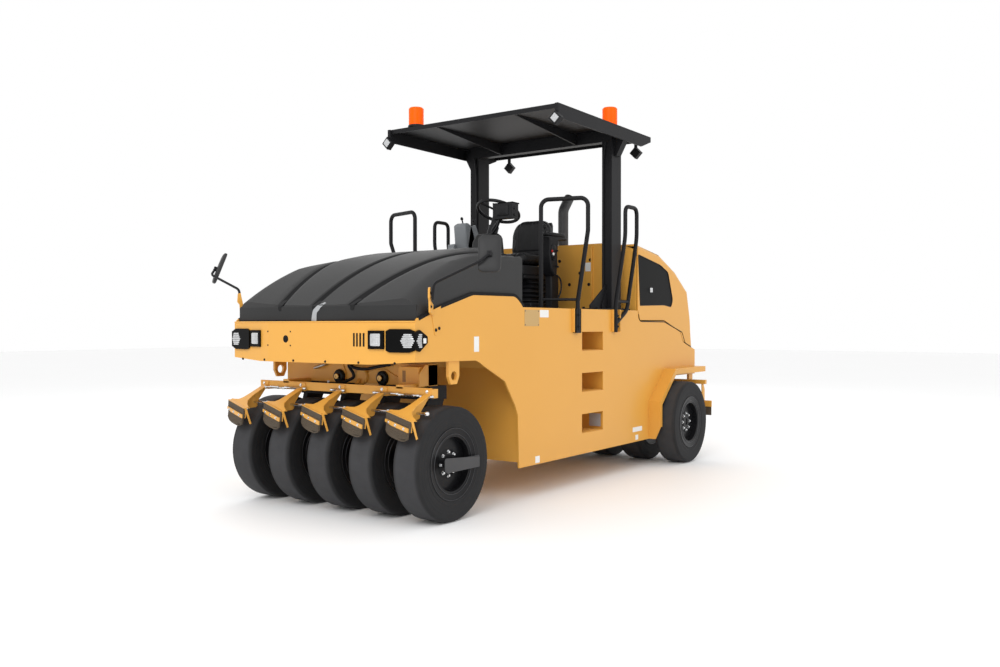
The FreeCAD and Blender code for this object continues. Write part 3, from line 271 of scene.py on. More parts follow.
def both(shape):
    """A shape and its mirror image as one."""
    return join(shape, mirrored(shape))


def merge(mesh):
    """Join points that meet and turn every face outward."""
    form = bmesh.new()
    form.from_mesh(mesh)
    bmesh.ops.remove_doubles(form, verts=form.verts, dist=SAME_POINT)
    bmesh.ops.recalc_face_normals(form, faces=form.faces)
    form.to_mesh(mesh)
    form.free()


def make(name, shape, body, slot, finish, bevel=0.0, smooth=SMOOTH, soften=0, second=None, marks=None):
    """A piece from (vertices, faces) on a body, its doubles merged and its faces turned outward.

    second gives another finish to some of its faces, and marks gives each point an attribute that the
    tyres use for tread dust and painted top light."""
    points, faces = shape
    mesh = bpy.data.meshes.new(name)
    mesh.from_pydata(np.asarray(points).tolist(), [], faces)
    mesh.materials.append(finish)
    if second:
        mesh.materials.append(second[0])
        chosen = np.zeros(len(mesh.polygons), dtype=np.int32)
        chosen[second[1]] = 1
        mesh.polygons.foreach_set("material_index", chosen)
    if marks is not None:
        layer = mesh.attributes.new("dusty", "FLOAT", "POINT")
        layer.data.foreach_set("value", np.asarray(marks, dtype=np.float32))
    merge(mesh)
    mesh.shade_smooth()
    mesh.set_sharp_from_angle(angle=smooth)
    thing = bpy.data.objects.new(name, mesh)
    bpy.context.scene.collection.objects.link(thing)
    if bevel:
        edge = thing.modifiers.new("edges", "BEVEL")
        edge.width = bevel
        edge.segments = 2
        edge.limit_method = "ANGLE"
        edge.angle_limit = BEVEL_FROM
    if soften:
        smoother = thing.modifiers.new("softened", "SUBSURF")
        smoother.levels = smoother.render_levels = soften
    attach(thing, body)
    return thing


# ---------------------------------------------------------------- shader maths

def operator(operation, swapped=False):
    """A method that adds one Math node, whose inputs are the term and the other side, or the other way
    round."""
    def method(self, other):
        given = (other, self) if swapped else (self, other)
        return self.maths(operation, *given)

    return method


class Term:
    """A socket's output; arithmetic on it adds Math nodes."""

    def __init__(self, finish, socket):
        self.finish = finish
        self.socket = socket

    def maths(self, operation, *given):
        """One Math node over terms and numbers."""
        return self.finish.node("ShaderNodeMath", {"operation": operation}, *given)

    __add__ = operator("ADD")
    __radd__ = operator("ADD", swapped=True)
    __sub__ = operator("SUBTRACT")
    __rsub__ = operator("SUBTRACT", swapped=True)
    __mul__ = operator("MULTIPLY")


class Finish:
    """A material in the making: its tree, its shader and the place of the point that is shaded."""

    def __init__(self, name, **constants):
        self.material = bpy.data.materials.new(name)
        self.material.use_nodes = True
        self.tree = self.material.node_tree
        self.shader = self.tree.nodes["Principled BSDF"]
        for word, number in constants.items():
            self.shader.inputs[word.replace("_", " ")].default_value = number
        self.place = self.node("ShaderNodeTexCoord", out="Object")
        self.x, self.y, self.z = [self.node("ShaderNodeSeparateXYZ", (), self.place, out=axis)
                                  for axis in "XYZ"]

    def node(self, kind, settings=(), *given, out=0, **named):
        """Any node: its type, its settings, then the values or links of its sockets by place or by
        name."""
        made = self.tree.nodes.new(kind)
        for word, setting in dict(settings).items():
            if word == "stops":
                ramp = made.color_ramp
                while len(ramp.elements) < len(setting):
                    ramp.elements.new(0.5)
                for element, (position, grey) in zip(ramp.elements, setting):
                    element.position = position
                    element.color = (grey, grey, grey, 1)
            else:
                setattr(made, word, setting)
        sockets = list(enumerate(given)) + [(word.replace("_", " "), value) for word,
                                            value in named.items()]
        for key, value in sockets:
            self.feed(made.inputs[key], value)
        return Term(self, made.outputs[out])

    def feed(self, socket, value):
        """Link a term to a socket, or set the socket's own value."""
        if isinstance(value, Term):
            self.tree.links.new(value.socket, socket)
        elif value is not None:
            socket.default_value = value

    def noise(self, scale, detail=3.0, stretch=None):
        """Cloudy noise, from 0 to 1, with so many clouds a metre."""
        place = self.node("ShaderNodeMapping", (), self.place, Scale=stretch) if stretch else self.place
        return self.node("ShaderNodeTexNoise", (), Vector=place, Scale=scale, Detail=detail)

    def ramp(self, value, *stops):
        """A value led through stops of (position, result)."""
        return self.node("ShaderNodeValToRGB", {"stops": stops}, value)

    def mix(self, mask, first, second):
        """One colour where the mask is 0 and the other where it is 1."""
        mixed = self.node("ShaderNodeMix", {"data_type": "RGBA"}, mask, out=2)
        made = mixed.socket.node
        for index, colour in ((6, first), (7, second)):
            self.feed(made.inputs[index], (*colour, 1) if isinstance(colour, tuple) else colour)
        return mixed

    def bump(self, height, distance, strength=1.0):
        """Tilt the surface's normal by a height."""
        made = self.node("ShaderNodeBump", (), Height=height, Distance=distance, Strength=strength,
                         out="Normal")
        self.feed(self.shader.inputs["Normal"], made)

    def done(self, **links):
        """Feed the shader and hand over the material."""
        for word, value in links.items():
            self.feed(self.shader.inputs[word.replace("_", " ")], value)
        return self.material


# ---------------------------------------------------------------- finishes

YELLOW = (0.70, 0.350, 0.062)
YELLOW_WARM = (0.675, 0.332, 0.055)


def paint(name, colour, darker, rough=0.36, coat=0.14):
    """Sprayed enamel: faint orange peel, slow change of shade and a thin film of dust low down."""
    finish = Finish(name, IOR=1.36, Coat_Roughness=0.18)
    cloud = finish.noise(1.7, 2.0)
    fine = finish.noise(420, 2.0)
    peel = finish.noise(160, 1.0)
    shade = finish.mix(cloud, darker, colour)
    dust = finish.ramp(finish.z, (0.0, 1.0), (0.55, 0.0)) * finish.noise(9, 4.0) * 0.16
    finish.bump(peel * 0.7 + fine * 0.3, 0.00025, 0.35)
    return finish.done(Base_Color=finish.mix(dust, shade, (0.33, 0.26, 0.18)), Roughness=rough + dust +
                       fine * 0.05, Coat_Weight=coat - dust)


def powder(name, colour, rough=0.42):
    """Powder coat: a fine pebbled skin on dark steel."""
    finish = Finish(name, IOR=1.25)
    pebble = finish.noise(520, 2.0)
    cloud = finish.noise(3.0, 3.0)
    finish.bump(pebble, 0.0004, 0.35)
    lighter = tuple(channel * 1.4 for channel in colour)
    return finish.done(Base_Color=finish.mix(cloud, colour, lighter), Roughness=rough + pebble * 0.12)


def moulding(name, colour, rough=0.5, grain=900, depth=0.0003):
    """Moulded plastic with a leathery grain and a slightly worn sheen."""
    finish = Finish(name, IOR=1.3)
    pores = finish.node("ShaderNodeTexVoronoi", {"feature": "SMOOTH_F1"}, Vector=finish.place,
                        Scale=grain)
    cloud = finish.noise(2.2, 3.0)
    scuff = finish.noise(40, 5.0, stretch=(1, 5, 5))
    finish.bump(pores, depth, 0.45)
    lighter = tuple(channel * 1.35 + 0.003 for channel in colour)
    return finish.done(Base_Color=finish.mix(cloud * 0.7 + scuff * 0.3, colour, lighter),
                       Roughness=rough + scuff * 0.14)


def tyre_finish():
    """Carbon-black rubber, lighter on the tread than on the walls, partly from dust and partly as
    painted light from above, with fine moulding lines.
    """
    finish = Finish("tyre rubber", IOR=1.3)
    dusty = finish.node("ShaderNodeAttribute", {"attribute_name": "dusty"}, out="Fac")
    cloud = finish.noise(14, 5.0)
    grit = finish.noise(700, 3.0)
    finish.bump(grit, 0.0006, 0.4)
    # Lighter tread colour: partly dust, partly painted light falling from above.
    wall = finish.mix(cloud, (0.012, 0.012, 0.013), (0.019, 0.019, 0.020))
    tread = finish.mix(cloud, (0.030, 0.030, 0.032), (0.046, 0.046, 0.049))
    return finish.done(Base_Color=finish.mix(dusty, wall, tread), Roughness=0.6 + grit * 0.16)


def mat_finish():
    """Woven coconut and rubber mat: coarse brown-grey fibres."""
    finish = Finish("scraper mat", IOR=1.4)
    fibres = finish.noise(260, 4.0, stretch=(1, 1, 4))
    tufts = finish.noise(60, 3.0)
    finish.bump(fibres, 0.0022, 0.8)
    shade = finish.mix(fibres * 0.6 + tufts * 0.4, (0.050, 0.036, 0.023), (0.105, 0.080, 0.055))
    return finish.done(Base_Color=shade, Roughness=0.88 - tufts * 0.1)


def metal(name, colour, rough, spread=0.08):
    """Plated or machined metal with fine scratches."""
    finish = Finish(name, Metallic=1.0)
    scratches = finish.noise(300, 4.0, stretch=(1, 8, 8))
    cloud = finish.noise(18, 3.0)
    finish.bump(scratches, 0.0001, 0.3)
    darker = tuple(channel * 0.78 for channel in colour)
    return finish.done(Base_Color=finish.mix(cloud, darker, colour), Roughness=rough +
                       scratches * spread)


def vinyl_finish():
    """Black seat vinyl: creased leather grain with a soft sheen."""
    finish = Finish("seat vinyl", IOR=1.3)
    cells = finish.node("ShaderNodeTexVoronoi", {"feature": "DISTANCE_TO_EDGE"}, Vector=finish.place,
                        Scale=520)
    folds = finish.noise(26, 3.0)
    finish.bump(finish.ramp(cells, (0.0, 0.0), (0.09, 1.0)) * 0.4 + folds * 0.6, 0.0009, 0.4)
    return finish.done(Base_Color=finish.mix(folds, (0.008, 0.008, 0.009), (0.018, 0.018, 0.019)),
                       Roughness=0.36 + folds * 0.18)


def amber_finish():
    """Orange beacon dome, ringed inside, with a faint painted glow that stands in for daylight caught
    in it.
    """
    finish = Finish("beacon amber", IOR=1.2, Roughness=0.3, Emission_Strength=0.3)
    bands = finish.node("ShaderNodeTexWave", {"bands_direction": "Z"}, Vector=finish.place, Scale=34.0)
    cloud = finish.noise(30, 2.0)
    finish.bump(bands * 0.7 + cloud * 0.3, 0.0012, 0.5)
    shade = finish.mix(bands * 0.35 + cloud * 0.2, (0.86, 0.085, 0.0), (0.92, 0.13, 0.0))
    return finish.done(Base_Color=shade, Emission_Color=shade)


def lens_finish(name, colour, scale):
    """Clear lamp lens over a bright reflector, moulded into small pillows."""
    finish = Finish(name, IOR=1.5, Roughness=0.12)
    pillows = finish.node("ShaderNodeTexVoronoi", {"distance": "CHEBYCHEV"}, Vector=finish.place,
                          Scale=scale, Randomness=0.0)
    haze = finish.noise(90, 3.0)
    finish.bump(pillows, 0.0025, 0.6)
    darker = tuple(channel * 0.55 for channel in colour)
    return finish.done(Base_Color=finish.mix(pillows * 1.2 + haze * 0.3, colour, darker),
                       Metallic=0.35 + haze * 0.3)


def glass_finish(name, colour, rough=0.12):
    """Dark glass, smooth but for fine dust."""
    finish = Finish(name, IOR=1.14)
    haze = finish.noise(12, 4.0)
    lighter = tuple(channel * 1.3 + 0.001 for channel in colour)
    return finish.done(Base_Color=finish.mix(haze, colour, lighter), Roughness=rough + haze * 0.05)


def deck_finish():
    """Non-slip sheet: staggered raised bars that lie crosswise, scuffed bright on their tops."""
    finish = Finish("deck plate", IOR=1.45)
    pitch = 0.032
    first = (finish.x + finish.y) * (1 / pitch)
    second = (finish.x - finish.y) * (1 / pitch)
    wave_a = first.maths("SINE", first * (2 * math.pi))
    wave_b = second.maths("SINE", second * (2 * math.pi))
    lozenge = finish.ramp(wave_a * wave_b, (0.35, 0.0), (0.6, 1.0))
    scuff = finish.noise(35, 4.0)
    finish.bump(lozenge, 0.0018, 0.8)
    return finish.done(Base_Color=finish.mix(lozenge * scuff, (0.020, 0.020, 0.021),
                                             (0.075, 0.074, 0.072)), Roughness=0.55 - lozenge * 0.15 +
                       scuff * 0.1)


def cast_finish():
    """Rough grey cast iron with a film of old paint."""
    finish = Finish("engine casting", IOR=1.45)
    sand = finish.noise(240, 4.0)
    cloud = finish.noise(8, 4.0)
    finish.bump(sand, 0.0012, 0.6)
    return finish.done(Base_Color=finish.mix(cloud, (0.055, 0.056, 0.058), (0.13, 0.13, 0.13)),
                       Roughness=0.6 + sand * 0.2)


def stack_finish():
    """Heat-darkened exhaust steel, a little rougher towards the top."""
    finish = Finish("exhaust steel", Metallic=0.6)
    soot = finish.ramp(finish.z, (0.0, 0.0), (1.0, 1.0))
    streak = finish.noise(30, 4.0, stretch=(4, 4, 1))
    finish.bump(finish.noise(320, 3.0), 0.0005, 0.4)
    shade = finish.mix(streak, (0.045, 0.046, 0.050), (0.095, 0.093, 0.092))
    return finish.done(Base_Color=shade, Roughness=0.42 + streak * 0.2 + soot * 0.05)


def card_finish(name, colour):
    """Printed card or foil with nothing on it: flat colour, faint mottling and a satin film."""
    finish = Finish(name, IOR=1.45)
    mottle = finish.noise(120, 3.0)
    darker = tuple(channel * 0.86 for channel in colour)
    return finish.done(Base_Color=finish.mix(mottle, darker, colour), Roughness=0.35 + mottle * 0.12)


YELLOW_PAINT = paint("yellow enamel", YELLOW, YELLOW_WARM)
BLACK_PAINT = powder("black powder coat", (0.009, 0.009, 0.010))
RIM_PAINT = powder("rim enamel", (0.007, 0.007, 0.008), 0.24)
GREY_MOULDING = moulding("grey moulding", (0.026, 0.026, 0.0262))
GREY_BAND = moulding("grey moulding band", (0.017, 0.017, 0.0172))
# Near-black: painted shade in the cover's grooves, and the dark hood seam.
GROOVE_SHADE = moulding("groove shade", (0.006, 0.006, 0.0065), 0.62)
MIRROR_HOUSING = moulding("mirror housing", (0.022, 0.022, 0.0225), 0.4)
# A darker copy of the yellow enamel: painted shade for the yoke's recessed windows.
SHADED_YELLOW = paint("shaded enamel", (0.30, 0.15, 0.03), (0.25, 0.12, 0.025))
GREY_LIGHT = moulding("light grey moulding", (0.17, 0.18, 0.19), 0.45)
BLACK_PLASTIC = moulding("black plastic", (0.006, 0.006, 0.007), 0.42)
RED_BUTTON = lens_finish("red lens", (0.75, 0.02, 0.02), 160)
# Near-black rubber for the seals and grommet, also used as painted shade in and behind the bumper's
# openings.
SEAL_RUBBER_AND_SHADE = moulding("seal rubber and painted shade", (0.004, 0.004, 0.0045), 0.7, 400)
TYRE_RUBBER = tyre_finish()
SCRAPER_MAT = mat_finish()
SEAT_VINYL = vinyl_finish()
AMBER = amber_finish()
DECK_PLATE = deck_finish()
ENGINE_CASTING = cast_finish()
STACK_STEEL = stack_finish()
CHROME = metal("bright plating", (0.78, 0.79, 0.80), 0.12)
ZINC = metal("zinc plating", (0.55, 0.54, 0.50), 0.3)
DARK_STEEL = metal("dark steel", (0.10, 0.10, 0.105), 0.38)
# Grey metal: painted highlights on the rim edges, and the valves' own metal.
RIM_HIGHLIGHT_AND_VALVE_METAL = metal("painted rim highlight and valve metal", (0.085, 0.085, 0.09), 0.34)
ARM_GREY = powder("arm grey", (0.055, 0.055, 0.057), 0.5)
BRASS = metal("bronze pin", (0.62, 0.38, 0.14), 0.28)
LAMP_BLACK = glass_finish("lamp surround", (0.003, 0.003, 0.003))
VENT_BLACK = glass_finish("vent screen", (0.004, 0.004, 0.004), 0.35)
SCREEN = glass_finish("screen glass", (0.006, 0.007, 0.009))
MIRROR_GLASS = metal("mirror glass", (0.80, 0.82, 0.84), 0.03, 0.01)
LENS = lens_finish("frosted lens", (0.72, 0.73, 0.74), 70)
REFLECTOR = lens_finish("ribbed reflector", (0.80, 0.81, 0.82), 110)
WHITE_CARD = card_finish("blank white plate", (0.80, 0.80, 0.78))
TAN_CARD = card_finish("blank ochre plate", (0.52, 0.33, 0.12))
PALE_STEEL = card_finish("pale grey steel", (0.36, 0.37, 0.38))


# ---------------------------------------------------------------- wheels

SHOULDER = 22 * MM
CROWN = 2 * MM                            # rise of the tread's middle over its edges
BEAD = 234 * MM                           # radius where the wall meets the rim
BEAD_HALF = 94 * MM
NUT_COUNT, NUT_RING, NUT_FACE, NUT_RADIUS, NUT_HEIGHT = 8, 76 * MM, 47 * MM, 9.5 * MM, 15 * MM


def tyre_section():
    """Closed section of a smooth tyre as (across, radius), and how much each point's tread is
    lightened, partly for dust and partly as painted light from above.

    The tread is crowned by the square of the offset, and the shoulders are quarter circles. Each
    wall falls to the bead with the 2.4th power of the depth, and its moulded rings are bell
    curves of the radius."""
    tread_half = TYRE_HALF - SHOULDER
    across = np.linspace(0, 1, 7) * tread_half
    tread = np.stack([across, TYRE_RADIUS - CROWN * (across / tread_half) ** 2], axis=1)
    turn = np.linspace(0, math.pi / 2, 9)[1:]
    shoulder = np.stack([tread_half + SHOULDER * np.sin(turn),
                         TYRE_RADIUS - CROWN - SHOULDER * (1 - np.cos(turn))], axis=1)
    depth = np.linspace(0, 1, 44)[1:]
    top = shoulder[-1][1]
    radius = top - depth * (top - BEAD)
    wall = TYRE_HALF - (TYRE_HALF - BEAD_HALF) * depth ** 2.4
    for height, centre, width in ((1.0, 322, 2.6), (0.8, 300, 2.4), (2.4, 262, 4.0), (1.6, 247, 3.0)):
        wall = wall + height * MM * np.exp(-((radius / MM - centre) / width) ** 2)
    half = np.concatenate([tread, shoulder, np.stack([wall, radius], axis=1), [(80 * MM, 222.5 * MM)]])
    section = np.concatenate([half, (half * (-1, 1))[:0:-1]])
    # Tread mask: partly dust, partly painted light from above.
    dust = np.clip((tread_half + 14 * MM - np.abs(section[:, 0])) / (26 * MM), 0, 1)
    return section, dust * (section[:, 1] > TYRE_RADIUS - 30 * MM)


TYRE_SECTION, TYRE_DUST_AND_LIGHT = tyre_section()
TYRE_STEPS = 96


def add_tyres(name, node, body, axle, stations):
    """Tyres on one axle, at the given stations across it, in place of a CAD node."""
    shapes = [turned_ring(TYRE_SECTION, (axle, station, AXLE_UP), TYRE_STEPS) for station in stations]
    # Tread mask per point: partly dust, partly painted light from above.
    dust = np.tile(np.repeat(TYRE_DUST_AND_LIGHT, TYRE_STEPS), len(shapes))
    piece = make(name, join(*shapes), body, "tyre_rubber", TYRE_RUBBER, marks=dust,
                 smooth=math.radians(50))
    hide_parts(node)


def wheel_nuts(axle, station, side):
    """Bright nuts with washers, spaced round the hub on the disc's outer face."""
    angle = np.arange(NUT_COUNT) * 2 * math.pi / NUT_COUNT
    ring = np.stack([np.cos(angle) * NUT_RING, np.zeros(NUT_COUNT), np.sin(angle) * NUT_RING], axis=1)
    return bolts(ring + (axle, station + side * NUT_FACE, AXLE_UP), (0, side, 0), NUT_RADIUS,
                 NUT_HEIGHT)


def rim_edges(axle, station, side):
    """Rolled edges of the flange and of the inner gutter: round bands turned about the axle, in grey as
    painted highlights.
    """
    bands = [circle(radius * MM, 8) + (side * across * MM, ring * MM) for radius, across,
             ring in ((2.2, 97, 232.5), (2.6, 93, 194))]
    return join(*[turned_ring(band, (axle, station, AXLE_UP), 72) for band in bands])


def valve(axle, station, side):
    """Tyre valve: a short bent stem with its cap, in the well of the rim."""
    root = np.array([axle + 120 * MM, station + side * 42 * MM, AXLE_UP - 120 * MM])
    path = root + np.array([(0, 0, 0), (4, side * 14, -4), (14, side * 26, -14)]) * MM
    return hose(path, 4 * MM, 6 * MM, 8)


def add_wheel_trim(name, body, axle, stations, side):
    """Nuts, rolled rim edges in grey as painted highlights, and valves of the wheels at some stations
    of an axle.
    """
    nuts = join(*[wheel_nuts(axle, station, side) for station in stations])
    make(f"{name}_nuts", nuts, body, "rim_paint", CHROME, smooth=CRISP)
    edges = [rim_edges(axle, station, side) for station in stations]
    valves = [valve(axle, station, side) for station in stations]
    make(f"{name}_edges", join(*edges, *valves), body, "rim_paint", RIM_HIGHLIGHT_AND_VALVE_METAL)


def add_wheels():
    """Five front tyres with a body each, and three rear tyres on each side that share one."""
    for number in range(1, 6):
        station = middle(f"front_tyre_{number}")[1]
        add_tyres(f"front_tyre_{number}_rubber", f"front_tyre_{number}", f"front_wheel_{number}", FRONT,
                  [station])
        add_wheel_trim(f"front_rim_{number}", f"front_wheel_{number}", FRONT, [station], 1)
    for word, side in (("left", 1), ("right", -1)):
        stations = [side * PITCH * step for step in (0.5, 1.5, 2.5)]
        add_tyres(f"rear_tyres_{word}_rubber", f"rear_tyres_{word}", f"rear_wheels_{word}", REAR,
                  stations)
        add_wheel_trim(f"rear_rims_{word}", f"rear_wheels_{word}", REAR, stations, side)


# ---------------------------------------------------------------- engine cover at the front

CREST_RADIUS = 2350                       # millimetres from here to the end of the cover
CREST_MIDDLE = (-992.4, -495.2)
COVER_HALF, COVER_BACK, COVER_BOTTOM = 835, -842, 1302
COVER_SHOULDER = 120
GROOVE_HALF, GROOVE_DEPTH = 40, 29
LIP_AHEAD, LIP_FALL = 393, 66
LOWER_CORNER = 28                          # radius of the edge where the slope meets the side


def crest(x):
    """Height of the cover along its middle: a circle in side view."""
    return CREST_MIDDLE[1] + np.sqrt(CREST_RADIUS ** 2 - (x - CREST_MIDDLE[0]) ** 2)


def lip(y):
    """How far ahead the cover's lip stands: it falls back with the square of the offset."""
    return LIP_AHEAD - LIP_FALL * (y / COVER_HALF) ** 2


def groove_line(x):
    """Offset of a side groove from the middle: it fans out towards the rear."""
    return 346 + 0.3 * (360 - x)


def drop(y, x):
    """Fall of the shoulders: a quarter circle over the last 120 mm, which becomes a wide slope towards
    the rear."""
    over = np.clip(np.abs(y) - (COVER_HALF - COVER_SHOULDER), 0, COVER_SHOULDER)
    rounded_off = COVER_SHOULDER - np.sqrt(COVER_SHOULDER ** 2 - over ** 2)
    corner = np.clip(np.abs(y) - (COVER_HALF - LOWER_CORNER), 0, LOWER_CORNER)
    sloped = 84 * np.clip((np.abs(y) - 430) / 340, 0, 1) ** 1.3
    sloped = sloped + LOWER_CORNER - np.sqrt(LOWER_CORNER ** 2 - corner ** 2)
    share = np.clip((-150 - x) / 600, 0, 1)
    return rounded_off * (1 - share) + sloped * share


def groove(y, middle_line):
    """Depth of a groove at an offset: a rounded V, the 1.6th power of the distance from its edge."""
    away = np.clip(1 - np.abs(y - middle_line) / GROOVE_HALF, 0, 1)
    return GROOVE_DEPTH * (1 - (1 - away) ** 1.6) * (away > 0)


def cover_columns(x):
    """Offsets across the cover at a station: even steps between its grooves, finer across them and
    over the shoulder."""
    side = groove_line(x)
    edge = side + GROOVE_HALF
    inner = [np.linspace(0, GROOVE_HALF, 7)[:-1], np.linspace(GROOVE_HALF, side - GROOVE_HALF, 13)[:-1],
             np.linspace(side - GROOVE_HALF, edge, 13)[:-1]]
    outer = edge + (COVER_HALF - edge) * np.sin(np.linspace(0, math.pi / 2, 22))
    half = np.concatenate([*inner, outer])
    return np.concatenate([-half[:0:-1], half])


GROOVE_FIRST = 18                          # column where a side groove starts, from the middle
GROOVE_COUNT = 12


def cover_top():
    """Top of the cover: rows run up its front face and then back along the crest; columns follow the
    grooves."""
    shares = np.concatenate([np.zeros(5), np.linspace(0, 1, 44) ** 1.15])
    rises = np.concatenate([np.linspace(0, 1, 6)[:-1], np.ones(44)])
    rows = []
    for share, rise in zip(shares, rises):
        y = cover_columns(lip(0) + (COVER_BACK - lip(0)) * share)
        x = lip(y) + (COVER_BACK - lip(y)) * share
        sunk = groove(y, 0) + groove(np.abs(y), groove_line(x))
        ends = np.clip((rise - 0.35) / 0.3, 0, 1) * np.clip((1 - share) / 0.03, 0, 1)
        z = crest(x) - drop(y, x)
        z = COVER_BOTTOM + (z - COVER_BOTTOM) * rise
        steep = np.where(rise < 1, 1.0, 0.45 * (1 - share))
        rows.append(np.stack([x - sunk * ends * steep, y, z - sunk * ends * (rise == 1)], axis=1))
    return np.array(rows)


def wall_below(edge, inset=0.0):
    """A wall from an edge straight down to the cover's bottom."""
    foot = edge.copy()
    foot[:, 2] = COVER_BOTTOM
    foot[:, 0] += inset
    return net(np.stack([edge, foot]))


def add_cover():
    """The cover's skin: its top with the grooves in near-black as painted shade, its walls and its
    floor.
    """
    top = cover_top()
    columns = top.shape[1]
    middle_column = columns // 2
    # The grooves' faces take near-black as painted shade.
    starts = [middle_column - 6, middle_column + GROOVE_FIRST,
              middle_column - GROOVE_FIRST - GROOVE_COUNT]
    dark = [column for start, count in zip(starts, (12, GROOVE_COUNT, GROOVE_COUNT))
            for column in range(start + 1, start + count - 1)]
    faces = [row * (columns - 1) + column for row in range(3, top.shape[0] - 1) for column in dark]
    shapes = [net(top)]
    for column in (0, columns - 1):
        shapes.append(wall_below(top[5:, column]))
    shapes.append(wall_below(top[-1]))
    floor = np.stack([top[0], np.stack([np.full(columns, float(COVER_BACK)), top[-1][:, 1],
                                        np.full(columns, float(COVER_BOTTOM))], axis=1)])
    shapes.append(net(floor))
    points, polygons = join(*shapes)
    points = points * MM + (FRONT, 0, 0)
    piece = make("front_cover_skin", (points, polygons), "chassis", "grey_moulding", GREY_MOULDING,
                 bevel=5 * MM, second=(GROOVE_SHADE, faces), smooth=math.radians(38))
    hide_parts("front_cover")


def lip_strip(low, high, proud, y):
    """A band that stands proud of the cover's front face, with its top edge turned in over the lip."""
    x = lip(y)
    loop = [(-1, low), (proud, low), (proud, high - 6), (proud - 5, high + 2), (-9, high + 6),
            (-9, high - 4)]
    rings = np.array([[(station + out, offset, height) for out, height in loop] for station,
                      offset in zip(x, y)])
    return net(rings, close_columns=True, cap_ends=True)


def add_cover_trim():
    """Darker band under the lip, the ends of the grooves that run over it in near-black painted shade,
    and the bent strap in the middle."""
    y = np.linspace(-COVER_HALF + 4, COVER_HALF - 4, 61)
    points, faces = lip_strip(1303, 1397, 3.0, y)
    make("cover_band", (points * MM + (FRONT, 0, 0), faces), "chassis", "grey_moulding", GREY_BAND,
         bevel=2 * MM)

    ends = []
    for offset in (-groove_line(380), 3, groove_line(380)):
        x = lip(offset)
        up = np.linspace(0, 1, 9)
        face = np.stack([np.full(9, x + 2.4), np.full(9, float(offset)), 1366 + up * 32], axis=1)
        back = np.stack([x - 4 - up * 60, offset + np.sign(offset) * up * 18 * (abs(offset) > 9),
                         crest(x - 4 - up * 60) - 8 - up * 6], axis=1)
        path = np.concatenate([face, back])
        wide = np.concatenate([19 * np.sqrt(np.clip(1 - (1 - up * 1.6) ** 2, 0.02, 1)) * (up < 0.625) +
                               19 * (up >= 0.625), np.full(9, 19.0)])
        ends.append(strip(path, wide, 3.0))
    points, faces = join(*ends)
    make("groove_ends", (points * MM + (FRONT, 0, 0), faces), "chassis", "grey_moulding", GROOVE_SHADE)

    x = lip(0)
    bend = [(x + 4, 4, 1299), (x + 4, 6, 1330), (x + 4, 12, 1362), (x + 4, 52, 1392), (x - 8, 72, 1408),
            (x - 26, 82, 1420)]
    path = rounded(np.array(bend, float), 10, 4)
    points, faces = strip(path, np.linspace(23, 12, len(path)), 3.0)
    make("cover_strap", (points * MM + (FRONT, 0, 0), faces), "chassis", "grey_moulding", PALE_STEEL,
         bevel=0.8 * MM)


def add_seals():
    """Black rubber between the cover and the plates round it."""
    y = np.linspace(-838, 838, 41)
    front = np.stack([lip(y) + 1, y, np.full(41, 1299.0)], axis=1)
    edge = [(326, 843, 1303), (118, 843, 1379), (-232, 843, 1476), (-729, 843, 1479), (-779, 843, 1452),
            (-838, 843, 1404)]
    side = rounded(np.array(edge, float), 25, 4)
    profile = [(-6, -5), (7, -5), (7, 17), (-6, 17)]
    shapes = [carry(front * MM + (FRONT, 0, 0), circle(4 * MM, 8))]
    rail = carry(side * MM + (FRONT, 0, 0), np.array(profile) * MM)
    shapes += [rail, mirrored(rail)]
    make("cover_seals", join(*shapes), "chassis", "grey_moulding", SEAL_RUBBER_AND_SHADE, bevel=1 * MM)


# ---------------------------------------------------------------- bumper and lamps

BUMPER_FLAT, BUMPER_BREAK, BUMPER_END = 430, 510, 849          # offsets from the middle
FLAT_FACE, BREAK_FACE, END_FACE = 415, 406.75, 360             # how far ahead the face stands there


def face_x(y):
    """How far ahead the bumper's face stands: flat in the middle and straight back to the corners."""
    return np.interp(np.abs(y), (0, BUMPER_FLAT, BUMPER_BREAK, BUMPER_END),
                     (FLAT_FACE, FLAT_FACE, BREAK_FACE, END_FACE))


def on_bumper(y, z, proud=0.0):
    """A point on the bumper's face, or so far in front of it."""
    return spot(face_x(y) + proud, y, z)


BUMPER_HOLE = (-251, 1178)                # offset and height of its middle
SLOT_FIRST, SLOT_STEP, SLOT_COUNT = 383, 27, 4
LEAN = math.atan2(BREAK_FACE - END_FACE, BUMPER_END - BUMPER_BREAK)


def bumper_frame(y, z, proud):
    """Origin, across and up of a flat place on the slanting part of the bumper."""
    side = 1 if y > 0 else -1
    across = (-side * math.sin(LEAN), math.cos(LEAN), 0)
    return on_bumper(y, z, proud / math.cos(LEAN)), across, UP


